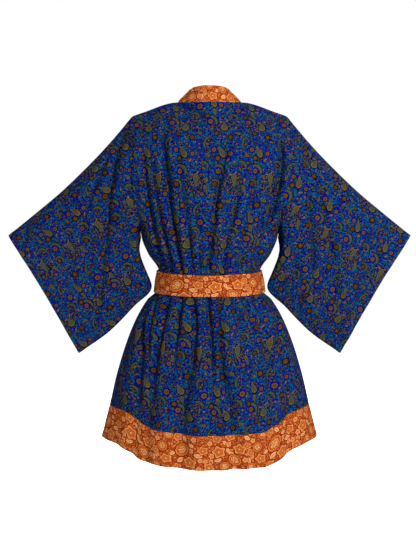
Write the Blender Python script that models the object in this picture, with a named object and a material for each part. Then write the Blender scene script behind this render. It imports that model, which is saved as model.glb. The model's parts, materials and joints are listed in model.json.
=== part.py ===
"""A short kimono robe, filled out as it is worn, with a contrast neck band, hem border and belt.

Metres, +Z up. The front faces -Y and the wearer's left is +X. The origin is midway between the two
neck points of the shoulder seams, where the robe rests on its wearer's shoulders.

Every cloth piece is a thin wall laid on one worked-out form: sections of the body from shoulder to hem,
two sleeves that fan out from the armholes, and soft troughs (folds) pressed into them.
"""

import math
from collections import namedtuple

import bpy
import numpy as np

MM = 0.001

# Thicknesses and gaps
CLOTH = 1.5 * MM
BAND_CLOTH = 2.2 * MM
BELT_CLOTH = 2.0 * MM
SEAM_GAP = 0.3 * MM
LAYER_GAP = 0.8 * MM

# Driving sizes
NECK_HALF = 76 * MM
NECK_BACK = 58 * MM
SHOULDER_HALF = 182 * MM
SHOULDER_DROP = 32 * MM
ARMPIT_Z = -317 * MM
BAND_WIDTH = 42 * MM
BELT_TOP = -400 * MM
BELT_WIDTH = 50 * MM
BORDER_HEIGHT = 79 * MM
SHOULDER_ROUND = 105 * MM

BACK, FRONT = 1, -1
LEFT, RIGHT = 1, -1

Section = namedtuple("Section", "name z half_width back front armhole")
BODY = (
    # name             z mm   half width  back  front  armhole half depth
    Section("shoulder", 0.0, 182.0, 84.0, 78.0, 0.0),
    Section("shoulder_end", -32.0, 182.0, 90.0, 86.0, 26.0),
    Section("blade", -110.0, 179.0, 106.0, 102.0, 66.0),
    Section("chest", -200.0, 173.0, 114.0, 120.0, 70.0),
    Section("underarm", -270.0, 167.0, 114.0, 122.0, 50.0),
    Section("armpit", -317.0, 162.0, 112.0, 117.0, 0.0),
    Section("blouse", -356.0, 147.0, 107.0, 110.0, 0.0),
    Section("belt_top", -400.0, 121.0, 98.0, 98.0, 0.0),
    Section("waist", -425.0, 125.0, 97.0, 97.0, 0.0),
    Section("belt_end", -452.0, 129.5, 101.0, 101.0, 0.0),
    Section("gathers", -472.0, 150.0, 114.0, 112.0, 0.0),
    Section("hip", -545.0, 189.0, 139.0, 134.0, 0.0),
    Section("thigh", -648.0, 223.0, 157.0, 149.0, 0.0),
    Section("border", -722.0, 241.0, 166.0, 157.0, 0.0),
    Section("hem", -800.0, 261.0, 174.0, 165.0, 0.0),
    Section("below", -850.0, 272.0, 178.0, 169.0, 0.0),
)

Dip = namedtuple("Dip", "degrees back front")
BORDER_SEAM = (
    # Height of the border's seam round the skirt; it is highest beside the side seams
    Dip(-90, -724, -724),
    Dip(-66, -722, -724),
    Dip(-52, -729, -728),
    Dip(-39, -749, -731),
    Dip(-28, -762, -733),
    Dip(0, -764, -735),
    Dip(14, -763, -734),
    Dip(25, -757, -733),
    Dip(36, -753, -731),
    Dip(47, -737, -729),
    Dip(58, -724, -725),
    Dip(72, -723, -724),
    Dip(90, -728, -728),
)

Edge = namedtuple("Edge", "name z across")
FRONT_EDGE = (
    # How far the edge of each front lies from the mid-line, on its own side
    Edge("neck_point", 0.0, 76.0),
    Edge("collar_bone", -60.0, 64.0),
    Edge("crossing", -265.0, 0.0),
    Edge("belt", -400.0, -46.0),
    Edge("hip", -545.0, -60.0),
    Edge("hem", -850.0, -84.0),
)

# Folds are troughs. x and z are read on the view from behind, +x to the wearer's left; all in mm.
Fold = namedtuple("Fold", "x_top z_top x_mid x_end z_end depth_top depth_end width fade_top fade_end")
BACK_FOLDS = (
    # Above the belt
    Fold(157, -112, 132, 108, -396, 13, 12, 11, 60, 16),
    Fold(131, -130, 108, 86, -396, 6, 9, 8, 60, 16),
    Fold(111, -84, 92, 72, -396, 9, 10, 9, 60, 16),
    Fold(74, -150, 60, 45, -396, 3, 6, 9, 60, 16),
    Fold(22, -190, 20, 17, -396, 2, 4, 9, 60, 16),
    Fold(-42, -104, -22, -4, -396, 7, 8, 10, 60, 16),
    Fold(-54, -206, -44, -32, -396, 3, 6, 8, 60, 16),
    Fold(-86, -180, -74, -60, -396, 3, 5, 8, 60, 16),
    Fold(-110, -190, -100, -86, -396, 4, 6, 8, 60, 16),
    Fold(-167, -100, -146, -112, -396, 12, 10, 11, 60, 16),
    # Below the belt
    Fold(128, -462, 164, 186, -860, 8, 16, 17, 18, 60),
    Fold(100, -462, 128, 146, -860, 10, 14, 14, 18, 60),
    Fold(71, -458, 88, 100, -860, 6, 8, 14, 18, 60),
    Fold(38, -458, 42, 66, -860, 9, 17, 14, 18, 60),
    Fold(4, -458, -6, -4, -860, 11, 9, 12, 18, 60),
    Fold(-24, -458, -40, -56, -860, 7, 15, 14, 18, 60),
    Fold(-62, -458, -80, -94, -860, 5, 8, 13, 18, 60),
    Fold(-100, -462, -122, -138, -860, 8, 12, 15, 18, 60),
    Fold(-128, -462, -170, -194, -860, 8, 14, 16, 18, 60),
)
FRONT_FOLDS = (
    # Above the belt
    Fold(150, -150, 134, 108, -396, 9, 6, 13, 60, 16),
    Fold(-154, -140, -136, -108, -396, 9, 6, 13, 60, 16),
    # Below the belt
    Fold(122, -462, 162, 186, -860, 6, 13, 17, 18, 60),
    Fold(-122, -462, -162, -188, -860, 6, 13, 17, 18, 60),
)
SLEEVE_FOLDS_BACK = (
    Fold(216, -104, 246, 290, -640, 12, 9, 13, 50, 60),
    Fold(190, -80, 188, 178, -400, 5, 6, 11, 40, 60),
    Fold(264, -140, 312, 336, -560, 5, 6, 15, 50, 60),
    Fold(360, -250, 388, 392, -480, 3, 4, 18, 50, 60),
    Fold(-198, -90, -203, -206, -330, 5, 4, 11, 40, 60),
    Fold(-236, -150, -241, -236, -420, 5, 5, 12, 50, 60),
    Fold(-262, -170, -292, -306, -470, 6, 5, 13, 50, 60),
    Fold(-330, -230, -352, -360, -560, 4, 5, 18, 50, 60),
)
SLEEVE_FOLDS_FRONT = (
    Fold(214, -96, 238, 262, -560, 9, 8, 13, 50, 60),
    Fold(270, -150, 300, 322, -600, 6, 6, 15, 50, 60),
    Fold(350, -240, 372, 384, -500, 4, 4, 18, 50, 60),
    Fold(-210, -94, -228, -240, -520, 8, 7, 13, 50, 60),
    Fold(-262, -150, -290, -318, -580, 6, 6, 15, 50, 60),
    Fold(-344, -240, -366, -380, -500, 4, 4, 18, 50, 60),
)

Station = namedtuple("Station", "name along top_x top_z low_x low_z fullness forward")
SLEEVE = (
    # name, share along the sleeve, top edge x z, lower edge x z, half thickness, how far it lies forward
    Station("armhole", 0.0, 182, -32, 162, -317, 60, 0),
    Station("cap", 0.14, 214, -70, 167, -350, 58, 1),
    Station("biceps", 0.28, 253, -113, 160, -388, 54, 3),
    Station("corner", 0.43, 303, -163, 141, -438, 48, 6),
    Station("elbow", 0.62, 359, -215, 186, -489, 42, 9),
    Station("forearm", 0.81, 420, -265, 247, -551, 36, 12),
    Station("cuff", 1.0, 485, -317, 320, -603, 31, 15),
)
CUFF_BOW = 9 * MM
SLEEVE_SEAM_HALF = 4.5 * MM
SLEEVE_SEAM_ROUND = 5 * MM
UNDERARM_CLEARANCE = 3 * MM

# Knot and belt ends
KNOT_WIDTH, KNOT_HEIGHT, KNOT_DEPTH = 50 * MM, 60 * MM, 20 * MM
KNOT_Z = -426 * MM

Hang = namedtuple("Hang", "name along left right half_width")
TAIL = (
    # name, share along the end, distance from the mid-line of the left one and the right one, half width
    Hang("knot", 0.0, 12.0, 12.0, 10.5),
    Hang("spread", 0.10, 20.0, 20.5, 17.0),
    Hang("open", 0.22, 27.5, 29.0, 24.0),
    Hang("half_way", 0.55, 34.0, 41.0, 24.5),
    Hang("end", 1.0, 42.0, 55.0, 24.5),
)
TAIL_LENGTH = {LEFT: 300 * MM, RIGHT: 272 * MM}
TAIL_DROP = 3 * MM
TAIL_INTO_KNOT = 6 * MM
TAIL_GATHER, TAIL_GATHER_TO = 3 * MM, 0.2


def smooth(low, high, value):
    """0 below low, 1 above high, and a soft step between."""
    t = np.clip((np.asarray(value, float) - low) / (high - low), 0, 1)
    return t * t * (3 - 2 * t)


def curve(places, values):
    """A smooth line through the points that never overshoots them."""
    order = np.argsort(places)
    xs, ys = np.array(places, float)[order], np.array(values, float)[order]
    step = np.diff(xs)
    slope = np.diff(ys) / step
    tangent = np.concatenate([slope[:1], np.zeros(len(xs) - 2), slope[-1:]])
    product, total = slope[:-1] * slope[1:], slope[:-1] + slope[1:]
    same_way = product > 0
    tangent[1:-1][same_way] = 2 * product[same_way] / total[same_way]

    def at(x):
        x = np.clip(np.asarray(x, float), xs[0], xs[-1])
        k = np.clip(np.searchsorted(xs, x, side="right") - 1, 0, len(step) - 1)
        t, d = (x - xs[k]) / step[k], step[k]
        rise = t * t * (3 - 2 * t)
        bend = t * (1 - t) ** 2 * d * tangent[k] + t * t * (t - 1) * d * tangent[k + 1]
        return ys[k] * (1 - rise) + ys[k + 1] * rise + bend

    return at


def column(table, key, name, scale=MM):
    """A table's column as a smooth function of another column."""
    return curve([getattr(row, key) * (MM if key == "z" else 1) for row in table],
                 [getattr(row, name) * scale for row in table])


half_width = column(BODY, "z", "half_width")
armhole_half = column(BODY, "z", "armhole")
body_depth = {BACK: column(BODY, "z", "back"), FRONT: column(BODY, "z", "front")}
front_edge = column(FRONT_EDGE, "z", "across")
shoulder_line = curve([0, NECK_HALF, 159 * MM, SHOULDER_HALF], [0, 0, -24 * MM, -SHOULDER_DROP])
station = {name: column(SLEEVE, "along", name) for name in Station._fields[2:]}
hang = {name: column(TAIL, "along", name) for name in Hang._fields[2:]}
seam_angles = [math.radians(row.degrees) for row in BORDER_SEAM]
border_seam = {
    BACK: curve(seam_angles, [row.back * MM for row in BORDER_SEAM]),
    FRONT: curve(seam_angles, [row.front * MM for row in BORDER_SEAM]),
}


def trough_depth(folds, x, z):
    """How far the folds of a table press the cloth inwards at a place seen from behind."""
    total = np.zeros(np.broadcast(x, z).shape)
    for f in folds:
        t = (z - f.z_top * MM) / ((f.z_end - f.z_top) * MM)
        bend = 4 * t * (1 - t) * (f.x_mid - (f.x_top + f.x_end) / 2)
        centre = (f.x_top + (f.x_end - f.x_top) * t + bend) * MM
        deep = (f.depth_top + (f.depth_end - f.depth_top) * np.clip(t, 0, 1)) * MM
        begun = smooth(0, f.fade_top * MM, f.z_top * MM - z)
        unfinished = smooth(0, f.fade_end * MM, z - f.z_end * MM)
        total += deep * begun * unfinished * np.exp(-(((x - centre) / (f.width * MM)) ** 2))
    return total


# The body's sections: half ellipses below the arms, more pointed at the sides where the armholes are open
ARM_SHUT, ARM_OPEN = ARMPIT_Z - 10 * MM, ARMPIT_Z + 60 * MM
SIDE_POINT = 1.1
NECK_SIDE_FROM, NECK_SIDE_TO = 0.4 * NECK_HALF, 1.3 * NECK_HALF
SHOULDER_FULLNESS = 0.5
NECKLINE_CURVE, NECKLINE_FADE = 0.75, 1.5
NECKLINE_DROP = 0.25
FOLDS_FROM_DROP = 0.5
SIDE_SEAM_HOLD = 8


def body_point(side, across, z):
    """A point of the cloth's inner face, side BACK or FRONT, at an angle across and a height."""
    share = np.sin(across)
    open_arm = smooth(ARM_SHUT, ARM_OPEN, z)
    arm = armhole_half(z)
    bulge = np.clip(np.cos(across), 0, 1) ** (1 + SIDE_POINT * open_arm)
    deep = arm + (body_depth[side](z) - arm) * bulge
    top_x = np.abs(share) * SHOULDER_HALF
    drop = np.clip((shoulder_line(top_x) - z) / SHOULDER_ROUND, 0, 1)
    beside_neck = smooth(NECK_SIDE_FROM, NECK_SIDE_TO, top_x)
    eased = (1 - (1 - drop) ** 2) ** (1 - SHOULDER_FULLNESS * beside_neck)
    if side == BACK:
        from_middle = np.clip(1 - (top_x / NECK_HALF) ** 2, 0, 1)
        power = NECKLINE_CURVE + NECKLINE_FADE * smooth(0, NECKLINE_DROP, drop)
        at_neck = NECK_BACK * from_middle ** power
        deep = at_neck + (deep - at_neck) * eased
    else:
        deep = deep * eased
    x = half_width(z) * share
    folds = trough_depth(BACK_FOLDS if side == BACK else FRONT_FOLDS, x, z)
    held_at_seam = (1 - open_arm) * np.abs(share) ** SIDE_SEAM_HOLD
    folds = folds * smooth(0, FOLDS_FROM_DROP, drop) * (1 - held_at_seam)
    lean = across * (1 - open_arm)
    return np.stack([x - folds * np.sin(lean), side * (deep - folds * np.cos(lean)), z + 0 * x], -1)


def unit(vectors):
    return vectors / np.maximum(np.linalg.norm(vectors, axis=-1, keepdims=True), 1e-12)


# Angles across, in radians, close to the side seam, which lies at a quarter turn
NORMAL_STEP = 0.004
NEAR_SEAM, AT_SEAM = 1.35, 1.56
LAST_SLOPE = 1.52


def body_normal(side, across, z):
    """The outward direction of the body's cloth; at side seam and armhole it stays in the seam's plane."""
    near = np.clip(across, -LAST_SLOPE, LAST_SLOPE)
    sideways = body_point(side, near + NORMAL_STEP, z) - body_point(side, near - NORMAL_STEP, z)
    low = np.minimum(z, -2 * MM)
    down = body_point(side, near, low - MM) - body_point(side, near, low + MM)
    normal = unit(np.cross(sideways, down) * side)
    open_arm = smooth(ARM_SHUT, ARMPIT_Z + 20 * MM, z)
    keep_x = 1 - open_arm * smooth(NEAR_SEAM, AT_SEAM, np.abs(across))
    keep_y = np.where(np.abs(across) > AT_SEAM, open_arm, 1.0)
    normal = unit(np.stack([normal[..., 0] * keep_x, normal[..., 1] * keep_y, normal[..., 2]], -1))
    top_x = np.abs(np.sin(across)) * SHOULDER_HALF
    at_shoulder = (z > shoulder_line(top_x) - 0.1 * MM) * smooth(0.6 * NECK_HALF, NECK_HALF, top_x)
    slope = (shoulder_line(top_x - MM) - shoulder_line(top_x)) / MM * np.sign(across) * keep_x
    on_ridge = unit(np.stack([slope, 0 * slope, 1 + 0 * slope], -1))
    return unit(normal + (on_ridge - normal) * at_shoulder[..., None])


def laid_on_body(side, across, z, above):
    """Points on the body's form, moved out from it by a distance."""
    across, z = np.broadcast_arrays(np.asarray(across, float), np.asarray(z, float))
    above = np.broadcast_to(np.asarray(above, float), z.shape)[..., None]
    points = body_point(side, across, z) + body_normal(side, across, z) * above
    points[..., 1] += side * SEAM_GAP / 2
    return points


def hem_height(side, across):
    return border_seam[side](across) - BORDER_HEIGHT


def armhole_gap(z):
    """The sleeve stands off the body at its seam, and more where it leaves it under the arm."""
    return SEAM_GAP + UNDERARM_CLEARANCE * smooth(ARMPIT_Z + 50 * MM, ARMPIT_Z, z)


# How a sleeve bags between its two edges: the powers set where it is fullest, and the last number scales it
BAG_TOP, BAG_LOW, BAG_PEAK = 0.5, 0.9, 0.42
BOW_SHAPE, BOW_FROM = 0.8, 0.6
BOW_IN, BOW_UP = 0.86, 0.5
LEAVES_BODY = 0.5
FOLD_ROOM = 0.7


def sleeve_point(hand, along, turn):
    """A point of a sleeve's inner face. turn is 0 at the top edge, pi at the lower one, back first."""
    fall = (1 - np.cos(turn)) / 2
    side = np.where(np.sin(turn) >= 0, 1.0, -1.0)
    at = {name: read(along) for name, read in station.items()}
    x = at["top_x"] + (at["low_x"] - at["top_x"]) * fall
    z = at["top_z"] + (at["low_z"] - at["top_z"]) * fall
    length = np.hypot(at["low_x"] - at["top_x"], at["low_z"] - at["top_z"])
    bow = CUFF_BOW * np.sin(np.pi * fall ** BOW_SHAPE) * smooth(BOW_FROM, 1.0, along)
    x, z = x - bow * BOW_IN, z + bow * BOW_UP

    at_body = (1 - smooth(0, LEAVES_BODY, along))
    start_z = -SHOULDER_DROP + (ARMPIT_Z + SHOULDER_DROP) * fall
    start_x = half_width(start_z) + armhole_gap(start_z)
    line_x = SHOULDER_HALF + (SLEEVE[0].low_x * MM - SHOULDER_HALF) * fall
    x = x + (start_x - line_x) * at_body

    bag = fall ** BAG_TOP * (1 - fall) ** BAG_LOW / BAG_PEAK
    left_over = (1 - fall) * length
    seam = np.sqrt(1 - (1 - np.clip(left_over / SLEEVE_SEAM_ROUND, 0, 1)) ** 2)
    own = at["fullness"] * bag + SLEEVE_SEAM_HALF * seam * smooth(0, 0.1, fall)
    quarter = np.full(np.shape(fall), math.pi / 2)
    body = {s: np.abs(body_point(s, quarter, start_z)[..., 1]) for s in (BACK, FRONT)}
    from_body = np.hypot(np.where(side > 0, body[BACK], body[FRONT]), SLEEVE_SEAM_HALF * seam)
    half = own + (from_body - own) * at_body

    seen_x = x * hand
    folds = np.where(
        side > 0,
        trough_depth(SLEEVE_FOLDS_BACK, seen_x, z),
        trough_depth(SLEEVE_FOLDS_FRONT, seen_x, z),
    )
    room = FOLD_ROOM * half + 1e-9
    folds = folds / (1 + folds / room) * smooth(0, 0.08, along)
    y = side * (half - folds) - at["forward"]
    return np.stack([x * hand, y, z + 0 * x], -1)


def sleeve_normal(hand, along, turn):
    step = 0.01
    round_it = sleeve_point(hand, along, turn + step) - sleeve_point(hand, along, turn - step)
    low, high = np.maximum(along - step, 0), np.minimum(along + step, 1)
    outwards = sleeve_point(hand, high, turn) - sleeve_point(hand, low, turn)
    normal = unit(np.cross(outwards, round_it) * hand)
    at_armhole = (along < 1e-6)[..., None]
    in_seam = unit(normal * np.array([0, 1, 1]))
    return np.where(at_armhole, in_seam, normal)


def wall(name, inner, outer, material, closed=False):
    """A closed solid between two grids of points, rows by columns. closed joins last column to first."""
    rows, columns = inner.shape[:2]
    count = rows * columns
    points = np.concatenate([outer.reshape(-1, 3), inner.reshape(-1, 3)])
    middle = (inner + outer) / 2
    faces = []

    def at(layer, row, col):
        return layer * count + row * columns + col % columns

    last = columns if closed else columns - 1
    for row in range(rows - 1):
        for col in range(last):
            nxt = (col + 1) % columns
            one, two = (row, col), (row + 1, col)
            three, four = (row + 1, nxt), (row, nxt)
            falling = np.linalg.norm(middle[one] - middle[three])
            rising = np.linalg.norm(middle[two] - middle[four])
            if falling <= rising:
                halves = ((one, two, three), (one, three, four))
            else:
                halves = ((one, two, four), (two, three, four))
            for half in halves:
                faces.append([at(0, *corner) for corner in half])
                faces.append([at(1, *corner) for corner in reversed(half)])
    for col in range(last):
        for row, way in ((0, 1), (rows - 1, -1)):
            one, two = (row, col), (row, col + 1)
            faces.append([at(0, *one), at(0, *two), at(1, *one)][::way])
            faces.append([at(0, *two), at(1, *two), at(1, *one)][::way])
    if not closed:
        for row in range(rows - 1):
            for col, way in ((0, -1), (columns - 1, 1)):
                one, two = (row, col), (row + 1, col)
                faces.append([at(0, *one), at(0, *two), at(1, *one)][::way])
                faces.append([at(0, *two), at(1, *two), at(1, *one)][::way])
    return solid(name, points, faces, material)


def solid(name, points, faces, material):
    mesh = bpy.data.meshes.new(name)
    mesh.from_pydata([tuple(float(v) for v in p) for p in points], [], faces)
    if signed_volume(points, faces) < 0:
        mesh.flip_normals()
    mesh.materials.append(material)
    mesh.shade_smooth()
    mesh.set_sharp_from_angle(angle=math.radians(50))
    mesh.update()
    obj = bpy.data.objects.new(name, mesh)
    bpy.context.scene.collection.objects.link(obj)
    return obj


def signed_volume(points, faces):
    total = 0.0
    for face in faces:
        a = points[face[0]]
        for one, two in zip(face[1:-1], face[2:]):
            total += float(np.dot(a, np.cross(points[one], points[two])))
    return total


def spaced(*spans):
    """Values in runs: each span is (start, end, how many steps)."""
    runs = [np.linspace(start, end, steps, endpoint=False) for start, end, steps in spans]
    return np.concatenate([*runs, [spans[-1][1]]])


# Panels
NECK_ANGLE = math.asin(NECK_HALF / SHOULDER_HALF)
HALF_TURN = math.pi / 2
NECK_COLUMNS = np.arcsin(NECK_HALF / SHOULDER_HALF * np.sin(np.linspace(-HALF_TURN, HALF_TURN, 19)))
SIDE_COLUMNS = np.linspace(NECK_ANGLE, HALF_TURN, 15)[1:]
BACK_COLUMNS = np.concatenate([-SIDE_COLUMNS[::-1], NECK_COLUMNS, SIDE_COLUMNS])
FRONT_COLUMNS = 20
TOP_ROWS = spaced((0, 0.3, 4), (0.3, 1, 4))
LEVELS = MM * np.array(
    (-200, -240, -280, -317, -345, -370, -388, -400, -425, -440, -452, -464, -480, -510, -550, -600, -655)
)
BORDER_ROWS = spaced((0, 1, 2))
BAND_UNDERSIDE = BAND_CLOTH - CLOTH
LAYER_LIFT = CLOTH + LAYER_GAP + BAND_UNDERSIDE


def lift(hand, x, z):
    """The left front lies over the right one, and comes down to the seam at the wearer's left side."""
    if hand == RIGHT:
        return 0 * x
    beside = smooth(0.97, 0.72, x / half_width(z))
    return LAYER_LIFT * beside * smooth(-60 * MM, -130 * MM, z)


def panel_heights(side, across):
    """Heights of a panel's rows: top edge to chest, level to the thigh, then the border's seam."""
    across = across + np.zeros((len(TOP_ROWS) + len(LEVELS), 1))
    top = shoulder_line(np.abs(np.sin(across[: len(TOP_ROWS)])) * SHOULDER_HALF)
    above = top + (LEVELS[0] - top) * TOP_ROWS[:, None]
    level = LEVELS[1:, None] + 0 * across[len(TOP_ROWS): -1]
    return np.concatenate([above, level, border_seam[side](across[-1:])])


def border_heights(side, across):
    top = border_seam[side](across) - SEAM_GAP
    return top + (hem_height(side, across) - top) * BORDER_ROWS[:, None]


def make_back(cloth, border_cloth):
    across = BACK_COLUMNS[None, :]
    z = panel_heights(BACK, across)
    wall("back", laid_on_body(BACK, across, z, 0), laid_on_body(BACK, across, z, CLOTH), cloth)
    z = border_heights(BACK, across)
    inner, outer = laid_on_body(BACK, across, z, 0), laid_on_body(BACK, across, z, CLOTH)
    wall("back_hem_border", inner, outer, border_cloth)


def edge_angle(hand, z):
    """The angle across where a front's edge lies at a height."""
    wide = np.where(z > -SHOULDER_DROP, SHOULDER_HALF, half_width(z))
    return hand * np.arcsin(np.clip(front_edge(z) / wide, -1, 1))


def front_grid(hand, heights):
    """Angles across and heights of a front's grid, from its edge to its side seam."""
    share = np.linspace(0, 1, FRONT_COLUMNS + 1)[None, :]
    z = heights(FRONT, hand * (NECK_ANGLE + (HALF_TURN - NECK_ANGLE) * share))
    for _ in range(12):
        edge = edge_angle(hand, z[:, :1])
        across = edge + (hand * HALF_TURN - edge) * share
        z = heights(FRONT, across)
    return across, z


def lay_front(name, hand, grid, thick, material):
    across, z = grid
    raised = lift(hand, half_width(z) * np.sin(across) * hand, z)
    inner = laid_on_body(FRONT, across, z, raised)
    outer = laid_on_body(FRONT, across, z, raised + thick)
    wall(name, inner, outer, material)


def make_front(hand, cloth, border_cloth):
    name = "left_front" if hand == LEFT else "right_front"
    lay_front(name, hand, front_grid(hand, panel_heights), CLOTH, cloth)
    lay_front(name + "_hem_border", hand, front_grid(hand, border_heights), CLOTH, border_cloth)


def make_sleeve(hand, cloth):
    along = spaced((0, 0.43, 5), (0.43, 1, 6))[:, None]
    turn = np.linspace(0, 2 * math.pi, 32, endpoint=False)[None, :]
    along, turn = np.broadcast_arrays(along, turn)
    inner = sleeve_point(hand, along, turn)
    outer = inner + sleeve_normal(hand, along, turn) * CLOTH
    wall("left_sleeve" if hand == LEFT else "right_sleeve", inner, outer, cloth, closed=True)


# Neck and front bands: each stands on the outer edge of its panel, flush with the panel's face
NECK_LEAN_BACK, NECK_LEAN_SIDE = math.radians(22), math.radians(44)
BAND_ROWS = spaced((0, 1, 3))
STANDING_TO = -20 * MM
LYING_FROM = -100 * MM
WRAPPED_FROM = -150 * MM


def make_neck_band(cloth):
    across = NECK_COLUMNS
    turn = np.arcsin(np.clip(np.sin(across) * SHOULDER_HALF / NECK_HALF, -1, 1))
    foot = laid_on_body(BACK, across, 0 * across, CLOTH)
    lean = NECK_LEAN_BACK + (NECK_LEAN_SIDE - NECK_LEAN_BACK) * np.sin(turn) ** 2
    across_band = np.sin(turn) * (1 - 1e-9)
    flat = unit(np.stack([across_band, (1 - across_band ** 2) ** 0.75, 0 * turn], -1))
    rise = np.array([0, 0, 1])
    lean = lean[:, None]
    way = rise * np.cos(lean) - flat * np.sin(lean)
    outward = rise * np.sin(lean) + flat * np.cos(lean)
    reach = SEAM_GAP + (BAND_WIDTH - SEAM_GAP) * BAND_ROWS
    outer = foot[:, None, :] + way[:, None, :] * reach[None, :, None]
    wall("neck_band", outer - outward[:, None, :] * BAND_CLOTH, outer, cloth)


def make_front_band(hand, cloth):
    panel, border = front_grid(hand, panel_heights), front_grid(hand, border_heights)
    across = np.append(panel[0][:, 0], border[0][1:, 0])
    z = np.append(panel[1][:, 0], border[1][1:, 0])
    x = front_edge(z)
    raised = lift(hand, x, z)
    foot = laid_on_body(FRONT, across, z, raised + CLOTH)
    face = body_normal(FRONT, across, z)
    run = unit(np.gradient(foot, axis=0))
    lying_way = unit(np.cross(run, face) * hand)
    lying_way = lying_way * np.where(lying_way[:, :1] * hand > 0, -1, 1)
    flat, rise = np.array([hand, 0, 0]), np.array([0, 0, 1])
    standing_way = rise * math.cos(NECK_LEAN_SIDE) - flat * math.sin(NECK_LEAN_SIDE)
    lying = smooth(STANDING_TO, LYING_FROM, z)[:, None]
    way = unit(standing_way + (lying_way - standing_way) * lying)
    out_of_it = unit(np.cross(way, run) * hand)
    out_of_it = out_of_it * np.where((out_of_it * (face + flat * 0.5)).sum(-1, keepdims=True) < 0, -1, 1)
    standing_out = rise * math.sin(NECK_LEAN_SIDE) + flat * math.cos(NECK_LEAN_SIDE)
    beyond_seam = smooth(0, STANDING_TO, z)[:, None]
    out_of_it = unit(standing_out + (out_of_it - standing_out) * beyond_seam)
    wrapped = smooth(LYING_FROM, WRAPPED_FROM, z)[:, None]
    slope = np.arctan(np.gradient(x, z))
    inner, outer = [], []
    for share in BAND_ROWS:
        reach = SEAM_GAP + (BAND_WIDTH - SEAM_GAP) * share
        there_z = z + reach * np.sin(slope)
        there_x = x - reach * np.cos(slope)
        there = np.arcsin(np.clip(there_x / half_width(there_z), -1, 1)) * hand
        on_body_out = laid_on_body(FRONT, there, there_z, raised + CLOTH)
        on_body_in = laid_on_body(FRONT, there, there_z, raised - BAND_UNDERSIDE)
        straight = foot + way * reach
        outer.append(straight + (on_body_out - straight) * wrapped)
        straight = straight - out_of_it * BAND_CLOTH
        inner.append(straight + (on_body_in - straight) * wrapped)
    name = "left_front_band" if hand == LEFT else "right_front_band"
    wall(name, np.stack(inner, 1), np.stack(outer, 1), cloth)


# Belt, knot and ends
BACK_UNDER_BELT = CLOTH + LAYER_GAP
FRONT_UNDER_BELT = LAYER_LIFT + CLOTH + 1.5 * LAYER_GAP
BELT_LEVELS = LEVELS[(LEVELS < BELT_TOP + MM) & (LEVELS > BELT_TOP - BELT_WIDTH)]
BELT_LEVELS = np.append(BELT_LEVELS, BELT_TOP - BELT_WIDTH)
BELT_COLUMNS = 60
OVER_FRONT, OVER_BACK = -0.25, 0.45


def belt_ring(turn, z, above):
    """Points of the belt: the body's own sections without folds, moved out over what lies under it."""
    half, back, front = half_width(z), body_depth[BACK](z), body_depth[FRONT](z)
    deep = np.where(np.cos(turn) > 0, back, front)
    in_front = smooth(OVER_BACK, OVER_FRONT, np.cos(turn))
    over = BACK_UNDER_BELT + (FRONT_UNDER_BELT - BACK_UNDER_BELT) * in_front
    ways = unit(np.stack([np.sin(turn) / half, np.cos(turn) / deep, 0 * z], -1))
    ring = np.stack([half * np.sin(turn), deep * np.cos(turn), z], -1)
    return ring + ways * (over + above)[..., None]


def make_belt(cloth):
    turn, z = np.meshgrid(np.linspace(0, 2 * math.pi, BELT_COLUMNS, endpoint=False), BELT_LEVELS)
    wall("belt", belt_ring(turn, z, 0 * z), belt_ring(turn, z, 0 * z + BELT_CLOTH), cloth, closed=True)


def knot_back():
    """The knot's flat back stands just off the foremost point of the belt."""
    middle = belt_ring(math.pi + 0 * BELT_LEVELS, BELT_LEVELS, BELT_CLOTH + 0 * BELT_LEVELS)
    return float(middle[:, 1].min()) - SEAM_GAP


# The knot's outline is a rounded oblong, waisted at half height, and its wraps slant across it
KNOT_ROUND, KNOT_FRONT_ROUND = 0.62, 0.6
KNOT_WAIST = 0.14
WRAP_DEPTH, WRAP_WAVES = 0.11, 7.5
WRAP_SLANT_X, WRAP_SLANT_Z = 0.9, 0.45


def make_knot(cloth):
    """A flat knot: a soft block, pillowed in front, pressed by the slanting wraps of the belt."""
    rings, sides = 9, 28
    points, faces = [], []
    back = knot_back()
    for level in range(1, rings):
        polar = math.pi * level / rings
        for k in range(sides):
            turn = 2 * math.pi * k / sides
            out = math.sin(polar) ** KNOT_FRONT_ROUND
            x = out * math.copysign(abs(math.cos(turn)) ** KNOT_ROUND, math.cos(turn))
            z = out * math.copysign(abs(math.sin(turn)) ** KNOT_ROUND, math.sin(turn))
            wraps = math.cos(WRAP_WAVES * (x * WRAP_SLANT_X + z * WRAP_SLANT_Z))
            press = WRAP_DEPTH * wraps * math.sin(polar)
            y = math.cos(polar) * (0.9 + press) if level < rings / 2 else max(-1, 1.3 * math.cos(polar))
            x = x * (1 - KNOT_WAIST * (1 - abs(z)))
            y = back - (1 + y) * KNOT_DEPTH / 2
            points.append((x * KNOT_WIDTH / 2, y, KNOT_Z + z * KNOT_HEIGHT / 2))
    front_pole = len(points)
    points.append((0, back - KNOT_DEPTH, KNOT_Z))
    points.append((0, back, KNOT_Z))
    for k in range(sides):
        nxt = (k + 1) % sides
        faces.append([front_pole, k, nxt])
        base = (rings - 2) * sides
        faces.append([front_pole + 1, base + nxt, base + k])
        for level in range(rings - 2):
            a, b = level * sides, (level + 1) * sides
            faces.append([a + k, b + k, b + nxt, a + nxt])
    solid("belt_knot", np.array(points), faces, cloth)


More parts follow.
